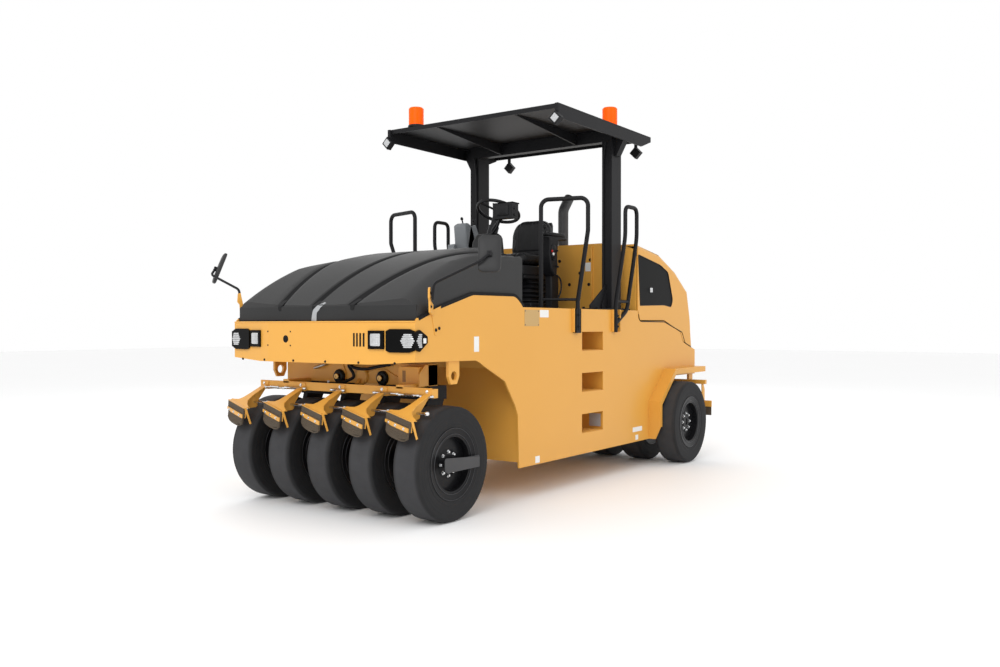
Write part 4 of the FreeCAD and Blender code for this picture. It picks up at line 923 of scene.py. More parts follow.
def add_bumper_trim():
    """Lip along the bumper's top, its bolts, the rim of its hole, and dark plates behind its openings
    as painted shade.
    """
    y = np.linspace(-846, 846, 61)
    line = np.stack([face_x(y) - 1, y, np.full(61, 1292.5)], axis=1) * MM + (FRONT, 0, 0)
    make("bumper_lip", carry(line, circle(5.5 * MM, 10)), "chassis", "yellow_paint", YELLOW_PAINT)

    low = [on_bumper(offset, 1033, 0.5) for offset in (-740, -470, -176, 127, 425, 700)]
    pairs = [on_bumper(offset, height, 0.5) for offset in (-430, -205) for height in (1228, 1134)]
    make("bumper_bolts", join(bolts(low, AHEAD, 6 * MM, 6 * MM), bolts(pairs, AHEAD, 4 * MM, 3 * MM)),
         "chassis", "yellow_paint", BLACK_PAINT)

    grommet = circle(3 * MM, 8)
    angle = np.linspace(0, 2 * math.pi, 25)[:-1]
    ring = on_bumper(*BUMPER_HOLE, 1) + np.stack([0 * angle, np.cos(angle) * 20 * MM,
                                                  np.sin(angle) * 20 * MM], 1)
    # Dark plates behind the openings: painted shade.
    backs = [prism(plate(21 * MM, 21 * MM, 20 * MM), on_bumper(*BUMPER_HOLE, -9), LEFT, UP, 2 * MM)]
    for index in range(SLOT_COUNT):
        place = on_bumper(SLOT_FIRST + SLOT_STEP * index, 1178, -9)
        backs.append(prism(plate(7 * MM, 45 * MM, 5 * MM), place, LEFT, UP, 2 * MM))
    make("bumper_openings", join(carry(ring, grommet, closed=True), *backs), "chassis", "yellow_paint",
         SEAL_RUBBER_AND_SHADE)


LAMP_UP, LAMP_FLANK, LAMP_PROUD = 1174, 866, 17


def add_front_lamps():
    """Frosted square lamps, and the corner lamps' silver clusters, which run on round the sides."""
    lenses, reflectors, whites = [], [], []
    for side in SIDES:
        origin, across, up = bumper_frame(side * 567, 1179, LAMP_PROUD)
        lenses.append(swell(plate(37 * MM, 39 * MM, 7 * MM), origin, across, up,
                            [(1.0, -8 * MM), (1.0, 0), (0.94, 3 * MM), (0.5, 5 * MM),
                             (0.05, 5.5 * MM)]))
        for row in range(-3, 4):
            height = LAMP_UP + row * 12.5
            long = 52 - abs(row) * 7
            origin, across, up = bumper_frame(side * 806, height, LAMP_PROUD)
            reflectors.append(swell(plate(long * MM, 5.2 * MM, 5 * MM), origin, across, up,
                                    [(1.0, -6 * MM), (1.0, 0), (0.9, 3 * MM), (0.3, 4.5 * MM)]))
            flank = spot(340 - abs(row) * 4, side * LAMP_FLANK, height)
            reflectors.append(swell(plate((24 - 3 * abs(row)) * MM, 5.2 * MM, 5 * MM),
                                    flank, (-side, 0, 0), up,
                                    [(1.0, -4 * MM), (1.0, 0), (0.9, 2 * MM), (0.3, 3 * MM)]))
        whites.append(swell(plate(13 * MM, 16 * MM, 3 * MM),
                            spot(287, side * LAMP_FLANK, LAMP_UP), (-side, 0, 0), UP,
                            [(1.0, -4 * MM), (1.0, 0), (0.9, 2 * MM), (0.3, 2.5 * MM)]))
    make("square_lamp_lenses", join(*lenses), "chassis", "lamp_glass", LENS)
    make("corner_reflectors", join(*reflectors), "chassis", "lamp_glass", REFLECTOR)
    make("side_markers", join(*whites), "chassis", "lamp_glass", WHITE_CARD)


# ---------------------------------------------------------------- shapes in millimetres

def placed(*shapes):
    """Shapes in millimetres from the front axle, joined and put in the frame."""
    points, faces = join(*shapes)
    return points * MM + (FRONT, 0, 0), faces


SLOT_FINISHES = {
    "yellow_paint": (YELLOW_PAINT, WHITE_CARD, TAN_CARD, PALE_STEEL, GROOVE_SHADE, SEAL_RUBBER_AND_SHADE),
    "black_paint": (BLACK_PAINT, CHROME, ZINC, BRASS, RIM_PAINT, ARM_GREY, DARK_STEEL),
    "black_plastic": (BLACK_PLASTIC, MIRROR_HOUSING, MIRROR_GLASS, SCREEN),
    "grey_moulding": (GREY_LIGHT, GREY_BAND),
    "lamp_glass": (LENS, RED_BUTTON),
    "seat_vinyl": (SEAT_VINYL,),
    "scraper_rubber": (SCRAPER_MAT,),
    "black_mesh": (VENT_BLACK,),
    "brown_paint": (SHADED_YELLOW,),
}
USUAL_SLOT = {finish.name: slot for slot, finishes in SLOT_FINISHES.items() for finish in finishes}


def add(name, finish, *shapes, body="chassis", slot=None, **looks):
    """A piece from shapes in millimetres, in its finish's usual slot unless another is given."""
    return make(name, placed(*shapes), body, slot or USUAL_SLOT[finish.name], finish, **looks)


def upright(outline, y, depth):
    """A plate drawn in side view as (ahead, up), from one offset on towards the left."""
    return prism(outline, (0, y, 0), AHEAD, UP, depth)


def facing(outline, x, depth):
    """A plate drawn in front view as (left, up), from one station back towards the rear."""
    return prism(outline, (x, 0, 0), LEFT, UP, depth)


def rod(low, high, radius, count=20):
    """A round bar between two points, with a small chamfer on each end."""
    low, high = np.asarray(low, float), np.asarray(high, float)
    long = np.linalg.norm(high - low)
    edge = min(radius * 0.15, 1.5)
    profile = [(0, radius - edge), (edge, radius), (long - edge, radius), (long, radius - edge)]
    return spun(profile, low, high - low, count)


def turning(axis, degrees):
    """Matrix that turns rows of points about X, Y or Z."""
    angle = math.radians(degrees)
    first, second = {"X": (1, 2), "Y": (2, 0), "Z": (0, 1)}[axis]
    matrix = np.eye(3)
    matrix[first, first] = matrix[second, second] = math.cos(angle)
    matrix[second, first], matrix[first, second] = math.sin(angle), -math.sin(angle)
    return matrix


def moved(shape, turn=np.eye(3), shift=(0, 0, 0)):
    """A shape turned about the origin and then shifted."""
    points, faces = shape
    return np.asarray(points, float) @ turn.T + np.asarray(shift, float), faces


# ---------------------------------------------------------------- steered front end

YOKE_LOW, YOKE_HIGH = 862, 1010
PIN_SPACING, PIN_UP = 207, 906
BAR_LOW, BAR_HIGH, BAR_FRONT, BAR_BACK, BAR_HALF = 812, 858, 155, 109, 812


def add_yoke():
    """Cross beam with a plate over its right half, the pin lug and gusset box of its left half, and
    its turntable."""
    beam = bar((-160, -757, YOKE_LOW), (-63, 604, YOKE_HIGH))
    over = facing([(-757, 866), (-757, 1004), (-190, 1004), (-150, 936), (-172, 866)], -55, 8)
    box = bar((-64, 412, YOKE_LOW - 1), (22, 590, 994))
    window = bar((21, 450, 892), (23, 478, 968))
    end = upright([(-160, 866), (-160, 1006), (-30, 1006), (30, 950), (30, 866)], 594, 10)
    table = rod((0, 0, YOKE_HIGH - 2), (0, 0, 1046.7), 230, 64)
    line = [(28, 867), (399, 867), (399, 894), (262, 950), (240, 964), (207, 970), (174, 966),
            (84, 950), (50, 938), (28, 918)]
    lug = facing(line, -55, 8)
    rib = upright([(-63, 862), (-2, 862), (-63, 922)], -14, 28)
    boss = spun([(0, 58), (16, 58), (24, 50)], (-62, 12, 912), AHEAD, 32)
    piece = add("yoke_frame", YELLOW_PAINT, beam, over, box, end, table, lug, rib, boss,
                body="front_steer", slot="brown_paint", bevel=3 * MM)
    # The windows sit back in the box and take the darker enamel as painted shade.
    add("yoke_windows", SHADED_YELLOW, window, body="front_steer")
    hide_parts("front_yoke")


def add_pins():
    """Black bushes with domed rims, and the bronze ends of the pins in them."""
    bushes, pins = [], []
    for side in SIDES:
        centre = (-55, side * PIN_SPACING, PIN_UP)
        bushes.append(spun([(0, 50), (16, 50), (24, 44), (27, 34), (27, 27), (20, 25)], centre, AHEAD,
                           40))
        pins.append(spun([(10, 21), (40, 21), (43, 18), (43, 6), (40, 5)], centre, AHEAD, 32))
    piece = add("pin_bushes", RIM_PAINT, *bushes, body="front_steer")
    add("pin_ends", BRASS, *pins, body="front_steer")
    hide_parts("pivot_pins")


SCRAPER_TURN = turning("Z", -17.4) @ turning("X", -8.5)
SCRAPER_HALF = 145


def scraper_spot(index):
    """Middle of a clamp strip, for the scraper of one front tyre."""
    return (371, (index - 2) * PITCH / MM - 57, 648)


def scraper_arm():
    """Flared plate that falls to the flange, the plate behind the mat, a stiffening rib and the side
    deflector."""
    flared = [(-262, -40), (-110, -44), (-60, -52), (-34, -70), (-20, -110), (-12, -SCRAPER_HALF),
              (0, -SCRAPER_HALF), (0, SCRAPER_HALF + 6), (-16, SCRAPER_HALF + 6), (-30, 96), (-56, 48),
              (-110, 20), (-262, 8)]
    plate_shape = prism(flared, (0, 0, 0), AHEAD, LEFT, 7)
    plate_shape = moved(plate_shape, turning("Y", 32), (-18, 0, 62))
    flange = bar((-44, -SCRAPER_HALF, 57), (3, SCRAPER_HALF + 5, 62))
    back = bar((-18, -SCRAPER_HALF, -14), (-12.3, SCRAPER_HALF, 60))
    web = [(-24, 60), (-24, 20), (-60, 30), (-120, 22), (-165, 26), (-172, 78), (-228, 170),
           (-228, 190)]
    fin = [(-2, 60), (-20, 60), (-62, -54), (-50, -60)]
    return join(plate_shape, flange, back, upright(web, -16, 8), upright(fin, SCRAPER_HALF + 0.5, 4))


def scraper_mat():
    """Woven mat: a sheet that bows forward in the middle, cut round at its lower corners, ribbed along
    its length."""
    across = np.linspace(-1, 1, 25)
    down = np.linspace(0, 1, 22)
    grid_y, grid_t = np.meshgrid(across, down)
    foot = -78 - 8 * (1 - grid_y ** 2) + 20 * np.abs(grid_y) ** 6
    z = 56.5 + (foot - 56.5) * grid_t
    ribs = 1.6 * np.sin(grid_t * 2 * math.pi * 9.5)
    front = 1 + 9 * grid_t ** 2 * (1 - 0.5 * grid_y ** 2) * (z < -12) + ribs * (np.abs(z) > 14)
    half = SCRAPER_HALF * (1 - 0.10 * np.clip((-10 - z) / 8, 0, 1))
    face = np.stack([front, grid_y * half, z], axis=-1)
    back = face - (11, 0, 0)
    rings = np.concatenate([face, back[:, ::-1]], axis=1)
    return net(rings, close_columns=True, cap_ends=True)


def add_scrapers():
    """Scraper bar on its stays, five arms clamped to it, their mats and strips, and their bright
    bolts."""
    bar_shape = bar((BAR_BACK, -BAR_HALF, BAR_LOW), (BAR_FRONT, BAR_HALF, BAR_HIGH))
    lip_shape = bar((BAR_FRONT - 8, -BAR_HALF, BAR_HIGH - 1), (BAR_FRONT, BAR_HALF, BAR_HIGH + 12))
    stays = both(bar((-63.3, 510, BAR_HIGH - 1), (BAR_FRONT, 570, BAR_HIGH + 25)))
    frame_shapes, mats, strips, studs = [bar_shape, lip_shape, stays], [], [], []
    for index in range(5):
        shift = scraper_spot(index)
        y = (index - 2) * PITCH / MM
        frame_shapes.append(bar((BAR_BACK - 6, y - 10, BAR_LOW - 6),
                                (BAR_FRONT + 6, y + 50, BAR_HIGH + 6)))
        frame_shapes.append(moved(scraper_arm(), SCRAPER_TURN, shift))
        mats.append(moved(scraper_mat(), SCRAPER_TURN, shift))
        strips.append(moved(prism([(5 - SCRAPER_HALF, -6), (-60, -15), (SCRAPER_HALF - 8, -15),
                                   (SCRAPER_HALF - 8, 12), (5 - SCRAPER_HALF, 12)], (9, 0, 0), LEFT, UP,
                                  7.5), SCRAPER_TURN, shift))
        heads = bolts([(9, place, 0) for place in (-96, -12, 88)], AHEAD, 7.5, 7)
        studs.append(moved(heads, SCRAPER_TURN, shift))
        studs.append(bolts([(BAR_FRONT + 6, y + 6, 848), (BAR_FRONT + 6, y + 34, 822)], AHEAD, 8, 8))
    piece = add("scraper_frame", YELLOW_PAINT, *frame_shapes, body="front_steer", bevel=1.2 * MM)
    add("scraper_strips", YELLOW_PAINT, *strips, body="front_steer", bevel=1 * MM)
    mat_piece = add("scraper_mats", SCRAPER_MAT, *mats, body="front_steer")
    add("scraper_studs", CHROME, *studs, body="front_steer", slot="yellow_paint")
    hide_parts("front_scraper_bar")
    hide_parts("front_scraper_blades")


def turnbuckle(start, end, height, x=172):
    """Adjusting rod: a thin rod with a six-sided sleeve in its middle and an eye on each end."""
    middle_y, long = (start + end) / 2, abs(end - start)
    eyes = [spun([(-9, 10), (-5, 14), (5, 14), (9, 10)], (x, y, height), UP, 16) for y in (start, end)]
    nuts = [spun([(-7, 11), (7, 11)], (x, middle_y + shift * long, height), LEFT, 6)
            for shift in (-0.2, 0.2)]
    return join(rod((x, start, height), (x, end, height), 5.5, 12),
                spun([(-0.16 * long, 10), (0.16 * long, 10)], (x, middle_y, height), LEFT, 6), *eyes,
                *nuts)


def add_scraper_rods():
    """Link rod through the scrapers with its ball joint, and the turnbuckles along the bar."""
    link = rod((235, -900, 715), (235, 838, 715), 9)
    ball_profile = [(math.cos(angle) * 17, max(math.sin(angle) * 17, AXIS))
                    for angle in np.linspace(math.pi, 0, 13)]
    ball = turned(ball_profile, (235, 838, 715), LEFT, 24)
    collars = [spun([(-9, 14), (9, 14)], (235, y, 715), LEFT, 6) for y in (-640, -250, 130, 520, 700)]
    turnbuckles = [turnbuckle(-735, -545, 822), turnbuckle(-520, -330, 826), turnbuckle(-60, 50, 828),
                   turnbuckle(337, 540, 826), turnbuckle(560, 715, 822), turnbuckle(740, 825, 818)]
    add("scraper_rods", CHROME, link, ball, *collars, *turnbuckles, body="front_steer",
        smooth=CRISP)


def add_front_hoses():
    """Grease and water lines in front of the yoke, clipped at both ends, with their bright fittings."""
    lines = [[(-60, -114, 1002), (-20, -95, 985), (-28, -40, 925), (-30, -60, 890), (60, -120, 862),
              (112, -157, 864)], [(-62, -70, 1004), (0, -60, 985), (10, 20, 968), (5, 110, 966),
                                  (0, 200, 985), (-40, 290, 1002)]]
    add("front_hoses", BLACK_PLASTIC, *[hose(line, 11, 60, 12) for line in lines], body="front_steer",
        slot="black_paint")
    ends = [((-64, -114, 1002), (1, 0.3, 0)), ((-64, -70, 1004), AHEAD),
            ((-64, 290, 1002), (1, -0.4, 0)), ((108, -157, 858), UP)]
    fittings = [spun([(-6, 12), (10, 12), (10, 9), (26, 9)], place, way, 6) for place, way in ends]
    bent = hose([(-66, -463, 962), (-20, -440, 958), (-16, -392, 970), (-16, -340, 984),
                 (-50, -330, 992)], 9, 30, 10)
    add("front_fittings", ZINC, *fittings, bent, body="front_steer", smooth=CRISP)


# ---------------------------------------------------------------- mirrors and handrails

MIRROR_TURN = turning("Z", 33) @ turning("Y", -21.4)
MIRROR_SPOT = (164, 1270, 1705)
BRACKET_TURN = turning("Z", 26)
PLATE_OUT_MM = PLATE_OUT / MM


def mirror_part(shape):
    """A shape drawn about a mirror head's middle, with X along its back, in its place on both sides."""
    return both(moved(shape, MIRROR_TURN, MIRROR_SPOT))


def add_mirrors():
    """Domed housings with glass towards the operator, each on a bent arm and a hooked plate."""
    dome = [(0.95, -13), (1.0, -11), (1.0, 2), (0.975, 8), (0.9, 12), (0.72, 15), (0.4, 17),
            (0.05, 17.6)]
    shell = swell(plate(70, 122, 34, 9), (0, 0, 0), LEFT, UP, dome)
    glass = swell(plate(62, 114, 28, 9), (-13, 0, 0), (0, -1, 0), UP,
                  [(1.0, -3), (1.0, 0.6), (0.97, 1.2), (0.05, 1.6)])
    clamp = join(bar((14, -15, -31), (36, 15, 1)), bolts([(36, 0, -7), (36, 0, -23)], AHEAD, 4, 5))
    piece = add("mirror_shells", MIRROR_HOUSING, mirror_part(shell))
    add("mirror_glasses", MIRROR_GLASS, mirror_part(glass))
    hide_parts("mirror_heads")

    arm = hose([(264, 908, 1428), (262, 917, 1530), (250, 1258, 1652), (189, 1286, 1700)], 9, 34, 14)
    arms = add("mirror_bars", BLACK_PAINT, both(arm), mirror_part(clamp))
    hook = [(8, 1330), (60, 1340), (88, 1352), (92, 1420), (108, 1440), (104, 1500), (84, 1506),
            (66, 1420), (8, 1400)]
    bracket = moved(upright(hook, -6, 12), BRACKET_TURN, (197, PLATE_OUT_MM + 6, 0))
    patch = upright([(208, 1362), (172, 1208), (156, 1204), (118, 1232), (112, 1392), (150, 1380)],
                    PLATE_OUT_MM, 4)
    add("mirror_brackets", YELLOW_PAINT, both(bracket), both(patch), bevel=1.5 * MM)
    heads = bolts([(163, PLATE_OUT_MM + 4, 1240), (131, PLATE_OUT_MM + 4, 1251)], LEFT, 8, 7)
    hook_bolts = bolts([(262, PLATE_OUT_MM + 46, 1385), (270, PLATE_OUT_MM + 52, 1470)],
                       BRACKET_TURN @ np.array([0, -1, 0]) * -1, 7, 6)
    add("mirror_bolts", BLACK_PAINT, both(heads), both(hook_bolts))
    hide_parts("mirror_arms")


def add_rails():
    """Rear pair of handrails with their channel brackets, and black clamps behind the feet of all
    four."""
    foot = PLATE_OUT_MM + 20
    path = [(-2205, foot, 1212), (-2205, foot, 1460), (-2107, 1009, 2000), (-2107, 1009, 2250),
            (-2313, 1009, 2250), (-2313, 1009, 2000), (-2440, foot, 1510), (-2412, foot, 1400),
            (-2212, foot, 1288)]
    tie = rod((-2207, foot, 1471), (-2426, foot, 1473), 13)
    add("rear_handrails", BLACK_PAINT, both(join(hose(path, 17, 60, 20), tie)))
    channels, clamps, heads = [], [], []
    for x, wide in ((-1610, 84), (-2264, 94)):
        channels.append(bar((x - 8, PLATE_OUT_MM, 1215), (x, foot + 14, 1402)))
        channels.append(bar((x + wide, PLATE_OUT_MM, 1215), (x + wide + 6, foot + 4, 1402)))
        clamps.append(bar((x + 20, PLATE_OUT_MM + 0.5, 1214), (x + wide, foot - 6, 1400)))
        heads.append(bolts([(x + wide / 2, foot + 17, z) for z in (1260, 1350)], LEFT, 7, 6))
    channels.append(bar((-2264, PLATE_OUT_MM, 1210), (-2170, PLATE_OUT_MM + 3, 1400)))
    add("rail_channels", YELLOW_PAINT, both(join(*channels)), bevel=1.5 * MM)
    add("rail_clamps", BLACK_PAINT, both(join(*clamps, *heads)), bevel=1 * MM)


def add_hub_arms():
    """Flat grey arms that carry the ends of the front axle, each over the hub of an outer wheel."""
    outline = [(122, 428), (-228, 402), (-232, 396), (-232, 340), (-228, 334), (112, 332), (132, 350),
               (134, 412)]
    arms = both(upright(outline, 897, 8))
    add("hub_arms", ARM_GREY, arms, body="front_steer", bevel=2 * MM)


# ---------------------------------------------------------------- operator's place

PAD_VOXEL = 0.006                         # metres, like the cap and the seams
PAD_CAP = 0.010
PAD_PRESSURE, PAD_FRAMES, PAD_FILL = 4, 20, 0.7
SEAM_DEPTH, SEAM_WIDE = 0.007, 0.009
SEAT_HALF = 214


def pebble(half, power=0.35, rows=22, columns=44):
    """A rounded block: a sphere whose sines and cosines are raised to a power below one."""
    up = np.linspace(-math.pi / 2, math.pi / 2, rows)[1:-1]
    around = np.arange(columns) * 2 * math.pi / columns

    def soft(value):
        return np.sign(value) * np.abs(value) ** power

    grid_up, grid_around = np.meshgrid(up, around, indexing="ij")
    points = np.stack([soft(np.cos(grid_up)) * soft(np.cos(grid_around)),
                       soft(np.cos(grid_up)) * soft(np.sin(grid_around)), soft(np.sin(grid_up))],
                      axis=-1)
    return net(points * np.asarray(half, float), close_columns=True, cap_ends=True)


def settle(piece):
    """Replace a piece's mesh by what its modifiers make of it."""
    seen = piece.evaluated_get(bpy.context.evaluated_depsgraph_get())
    piece.data = bpy.data.meshes.new_from_object(seen)
    piece.modifiers.clear()


def places(mesh):
    """A mesh's points as an array."""
    points = np.empty(len(mesh.vertices) * 3)
    mesh.vertices.foreach_get("co", points)
    return points.reshape(-1, 3)


def puff(piece):
    """Swell a remeshed pad by a short cloth run under pressure, with no point moving further than its
    cap."""
    remesh = piece.modifiers.new("remesh", "REMESH")
    remesh.mode, remesh.voxel_size = "VOXEL", PAD_VOXEL
    settle(piece)
    scene = bpy.context.scene
    before = places(piece.data)
    cloth = piece.modifiers.new("cloth", "CLOTH")
    cloth.settings.use_pressure = True
    cloth.settings.uniform_pressure_force = PAD_PRESSURE
    cloth.settings.effector_weights.gravity = 0
    cloth.point_cache.frame_start, cloth.point_cache.frame_end = 1, PAD_FRAMES
    for number in range(1, PAD_FRAMES + 1):
        scene.frame_set(number)
    settle(piece)
    move = places(piece.data) - before
    length = np.maximum(np.linalg.norm(move, axis=1, keepdims=True), 1e-9)
    after = before + move * np.minimum(1, PAD_CAP / length)
    piece.data.vertices.foreach_set("co", after.ravel())
    piece.data.update()
    scene.frame_set(1)


def sew(piece, away, facing_side):
    """Press channels into a pad, away being each point's distance from the nearest seam."""
    normals = np.empty(len(piece.data.vertices) * 3)
    piece.data.vertices.foreach_get("normal", normals)
    normals = normals.reshape(-1, 3)
    toward = np.clip(normals @ np.asarray(facing_side, float), 0, 1) ** 0.5
    amount = SEAM_DEPTH * np.exp(-(away / SEAM_WIDE) ** 2) * toward
    points = places(piece.data) - normals * amount[:, None]
    piece.data.vertices.foreach_set("co", points.ravel())
    piece.data.update()
    soft = piece.modifiers.new("soften", "SUBSURF")
    soft.levels = soft.render_levels = 1


def add_seat():
    """Cushion with a rolled front and side bolsters, and a curved back that narrows towards its top."""
    points, faces = pebble((228, SEAT_HALF, 38))
    points[:, 2] += 16 * (points[:, 1] / SEAT_HALF) ** 4 - 10 * np.clip(points[:, 0] / 228, 0, 1) ** 4
    cushion = add("seat_pad", SEAT_VINYL, (points + (-1982, 0, 1838), faces))
    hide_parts("seat_cushion")
    puff(cushion)
    here = places(cushion.data) / MM - (FRONT / MM, 0, 0)
    away = np.minimum(np.abs(np.abs(here[:, 1]) - 138), np.abs(here[:, 0] + 1835))
    sew(cushion, away * MM, UP)

    points, faces = pebble((42, SEAT_HALF, SEAT_HALF), 0.42)
    rise = (points[:, 2] + SEAT_HALF) / (2 * SEAT_HALF)
    narrow = 1 - 0.20 * np.clip((rise - 0.55) / 0.45, 0, 1) ** 2
    points[:, 1] *= narrow
    points[:, 0] += 26 * (points[:, 1] / SEAT_HALF) ** 2 - 24 * rise
    back = add("seat_backrest", SEAT_VINYL, (points + (-2262, 0, 2004), faces))
    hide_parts("seat_back")
    puff(back)
    here = places(back.data) / MM - (FRONT / MM, 0, 0)
    away = np.minimum(np.abs(np.abs(here[:, 1]) - 132), np.abs(here[:, 2] - 1930))
    sew(back, away * MM, AHEAD)

    rows = np.linspace(0, 1, 40)
    outline = plate(160, 165, 40)
    rings = [np.column_stack([outline * (1 - 0.07 * math.cos(row * 2 * math.pi * 6)),
                              np.full(len(outline), 1462 + 236 * row)]) for row in rows]
    bellows = net(np.array(rings) + (-2110, 0, 0), close_columns=True, cap_ends=True)
    piece = add("seat_bellows", BLACK_PLASTIC, bellows)
    pan = bar((-2285, -200, 1700), (-1800, 200, 1782))
    foot = bar((-2285, -195, 1400), (-1935, 195, 1466))
    rails = both(bar((-2240, 168, 1668), (-1830, 196, 1702)))
    add("seat_frame", BLACK_PLASTIC, pan, foot, rails, bevel=8 * MM)
    lever = hose([(-1812, 90, 1720), (-1770, 92, 1716), (-1752, 60, 1716), (-1752, -60, 1716),
                  (-1770, -92, 1716), (-1812, -90, 1720)], 6, 14, 10)
    shell = upright([(-2330, 1830), (-2306, 1800), (-2302, 2170), (-2318, 2190), (-2338, 2160)], -170,
                    340)
    add("seat_shell", BLACK_PLASTIC, lever, shell, bevel=6 * MM)
    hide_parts("seat_base")


def stalk(low, high, radius, knob):
    """A lever: a thin stalk with a rounded knob."""
    low, high = np.asarray(low, float), np.asarray(high, float)
    way = (high - low) / np.linalg.norm(high - low)
    profile = [(0, AXIS), (2, knob * 0.6), (knob * 0.8, knob), (knob * 1.8, knob * 0.9),
               (knob * 2.3, knob * 0.4), (knob * 2.35, AXIS)]
    return join(rod(low, high, radius, 12), turned(profile, high - way * 4, way, 20))


def add_consoles():
    """Armrest, control lever, switches and the bent hose of the arm console, and the levers of the far
    console."""
    points, faces = pebble((150, 54, 18), 0.4)
    rest = (points + (-2100, 313, 2050), faces)
    side_view = [(-1956, 2032), (-2250, 2038), (-2250, 2008), (-2118, 2000), (-2092, 1900),
                 (-2098, 1790), (-2082, 1704), (-2046, 1690), (-1990, 1760), (-1966, 1880),
                 (-1976, 1990)]
    pod = upright(side_view, 262, 104)
    shroud = join(bar((-2170, 262, 1400), (-2052, 330, 1712)),
                  moved(pebble((34, 20, 60), 0.6), shift=(-2016, 366, 1900)))
    stick = stalk((-1985, 318, 2030), (-1965, 318, 2098), 7, 17)
    side = join(stalk((-2040, 366, 1905), (-2032, 398, 1905), 5, 8),
                stalk((-2060, 366, 1780), (-2044, 396, 1772), 5, 9),
                stalk((-2010, 366, 1830), (-1990, 394, 1824), 5, 8))
    loop = hose([(-2060, 366, 1700), (-2110, 372, 1688), (-2146, 372, 1640), (-2140, 372, 1560),
                 (-2090, 368, 1500)], 7, 40, 10)
    piece = add("arm_controls", BLACK_PLASTIC, rest, pod, shroud, bevel=10 * MM)
    add("arm_levers", BLACK_PLASTIC, stick, side, loop)
    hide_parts("arm_console")
    buttons = join(bolts([(-1974, 386, 1901)], LEFT, 8, 5, 16))
    add("arm_button_red", RED_BUTTON, buttons, slot="amber_lens")
    add("arm_button_white", WHITE_CARD, bolts([(-1996, 386, 1878)], LEFT, 9, 5, 16), slot="lamp_glass")
    far = [(-1742, 2150), (-1790, 2175), (-1850, 2150), (-1906, 2020), (-1880, 1900), (-1820, 1886),
           (-1760, 1990)]
    case = upright(far, -500, 130)
    add("far_console", GREY_LIGHT, case, bevel=14 * MM)
    levers = join(stalk((-1800, -435, 2165), (-1786, -435, 2200), 6, 13),
                  stalk((-1868, -400, 2120), (-1890, -392, 2190), 6, 12),
                  stalk((-1900, -440, 2040), (-1930, -436, 2110), 6, 12))
    add("far_levers", BLACK_PLASTIC, levers)
    low_case = upright([(-1735, 1880), (-1735, 1985), (-1800, 1995), (-1880, 1960), (-1880, 1860)],
                       -560, 70)
    add("far_switch_box", GREY_LIGHT, low_case, bevel=10 * MM)


COLUMN_TILT = math.radians(25)
WHEEL_SPOT = np.array((-1725, 0, 2240))


def add_column():
    """Pedestal with its tilted shaft, the boxed display on a bent arm, and the stalk by the wheel."""
    side_view = [(-1440, 1400), (-1455, 1840), (-1475, 1960), (-1520, 2022), (-1560, 2036),
                 (-1600, 2040), (-1640, 2026), (-1665, 2000), (-1682, 1900), (-1690, 1700),
                 (-1700, 1400)]
    pedestal = add("column_pedestal", GREY_BAND, upright(side_view, -98, 196), bevel=22 * MM)
    down = np.array((math.sin(COLUMN_TILT), 0, -math.cos(COLUMN_TILT)))
    shaft = spun([(34, 30), (60, 34), (150, 34), (152, 44), (330, 46), (420, 60), (440, 60)],
                 WHEEL_SPOT, down, 28)
    arm = hose([(-1560, 60, 1968), (-1550, 64, 2060), (-1452, 235, 2152)], 15, 40, 14)
    strut = hose([(-1556, 20, 1990), (-1500, 150, 2080), (-1450, 215, 2140)], 10, 30, 12)
    stick = stalk((-1700, 30, 2180), (-1676, 150, 2196), 5, 9)
    add("column_shaft", BLACK_PLASTIC, shaft, arm, strut, stick)
    case = bar((-1480, 165, 2130), (-1412, 355, 2262))
    hood = join(bar((-1520, 165, 2252), (-1412, 355, 2262)),
                bar((-1505, 165, 2130), (-1480, 172, 2262)),
                bar((-1505, 348, 2130), (-1480, 355, 2262)))
    knobs = bolts([(-1446, 355, 2212), (-1446, 355, 2160)], LEFT, 9, 8, 16)
    back = swell(plate(60, 42, 10), (-1412, 260, 2196), LEFT, UP,
                 [(1.0, -2), (1.0, 4), (0.9, 7), (0.05, 7.5)])
    add("display_case", BLACK_PLASTIC, case, hood, knobs, back, bevel=3 * MM)
    add("display_screen", SCREEN, bar((-1484, 176, 2142), (-1479.5, 344, 2248)))
    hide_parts("steering_column")


def add_wheel_details():
    """Horn pad in the middle of the steering wheel."""
    up = np.array((-math.sin(COLUMN_TILT), 0, math.cos(COLUMN_TILT)))
    pad = turned([(-14, AXIS), (-14, 40), (10, 46), (20, 42), (25, 30), (27, AXIS)], WHEEL_SPOT, up, 32)
    add("horn_pad", BLACK_PLASTIC, pad, body="steering_wheel_body")


# ---------------------------------------------------------------- canopy, deck and hull trim

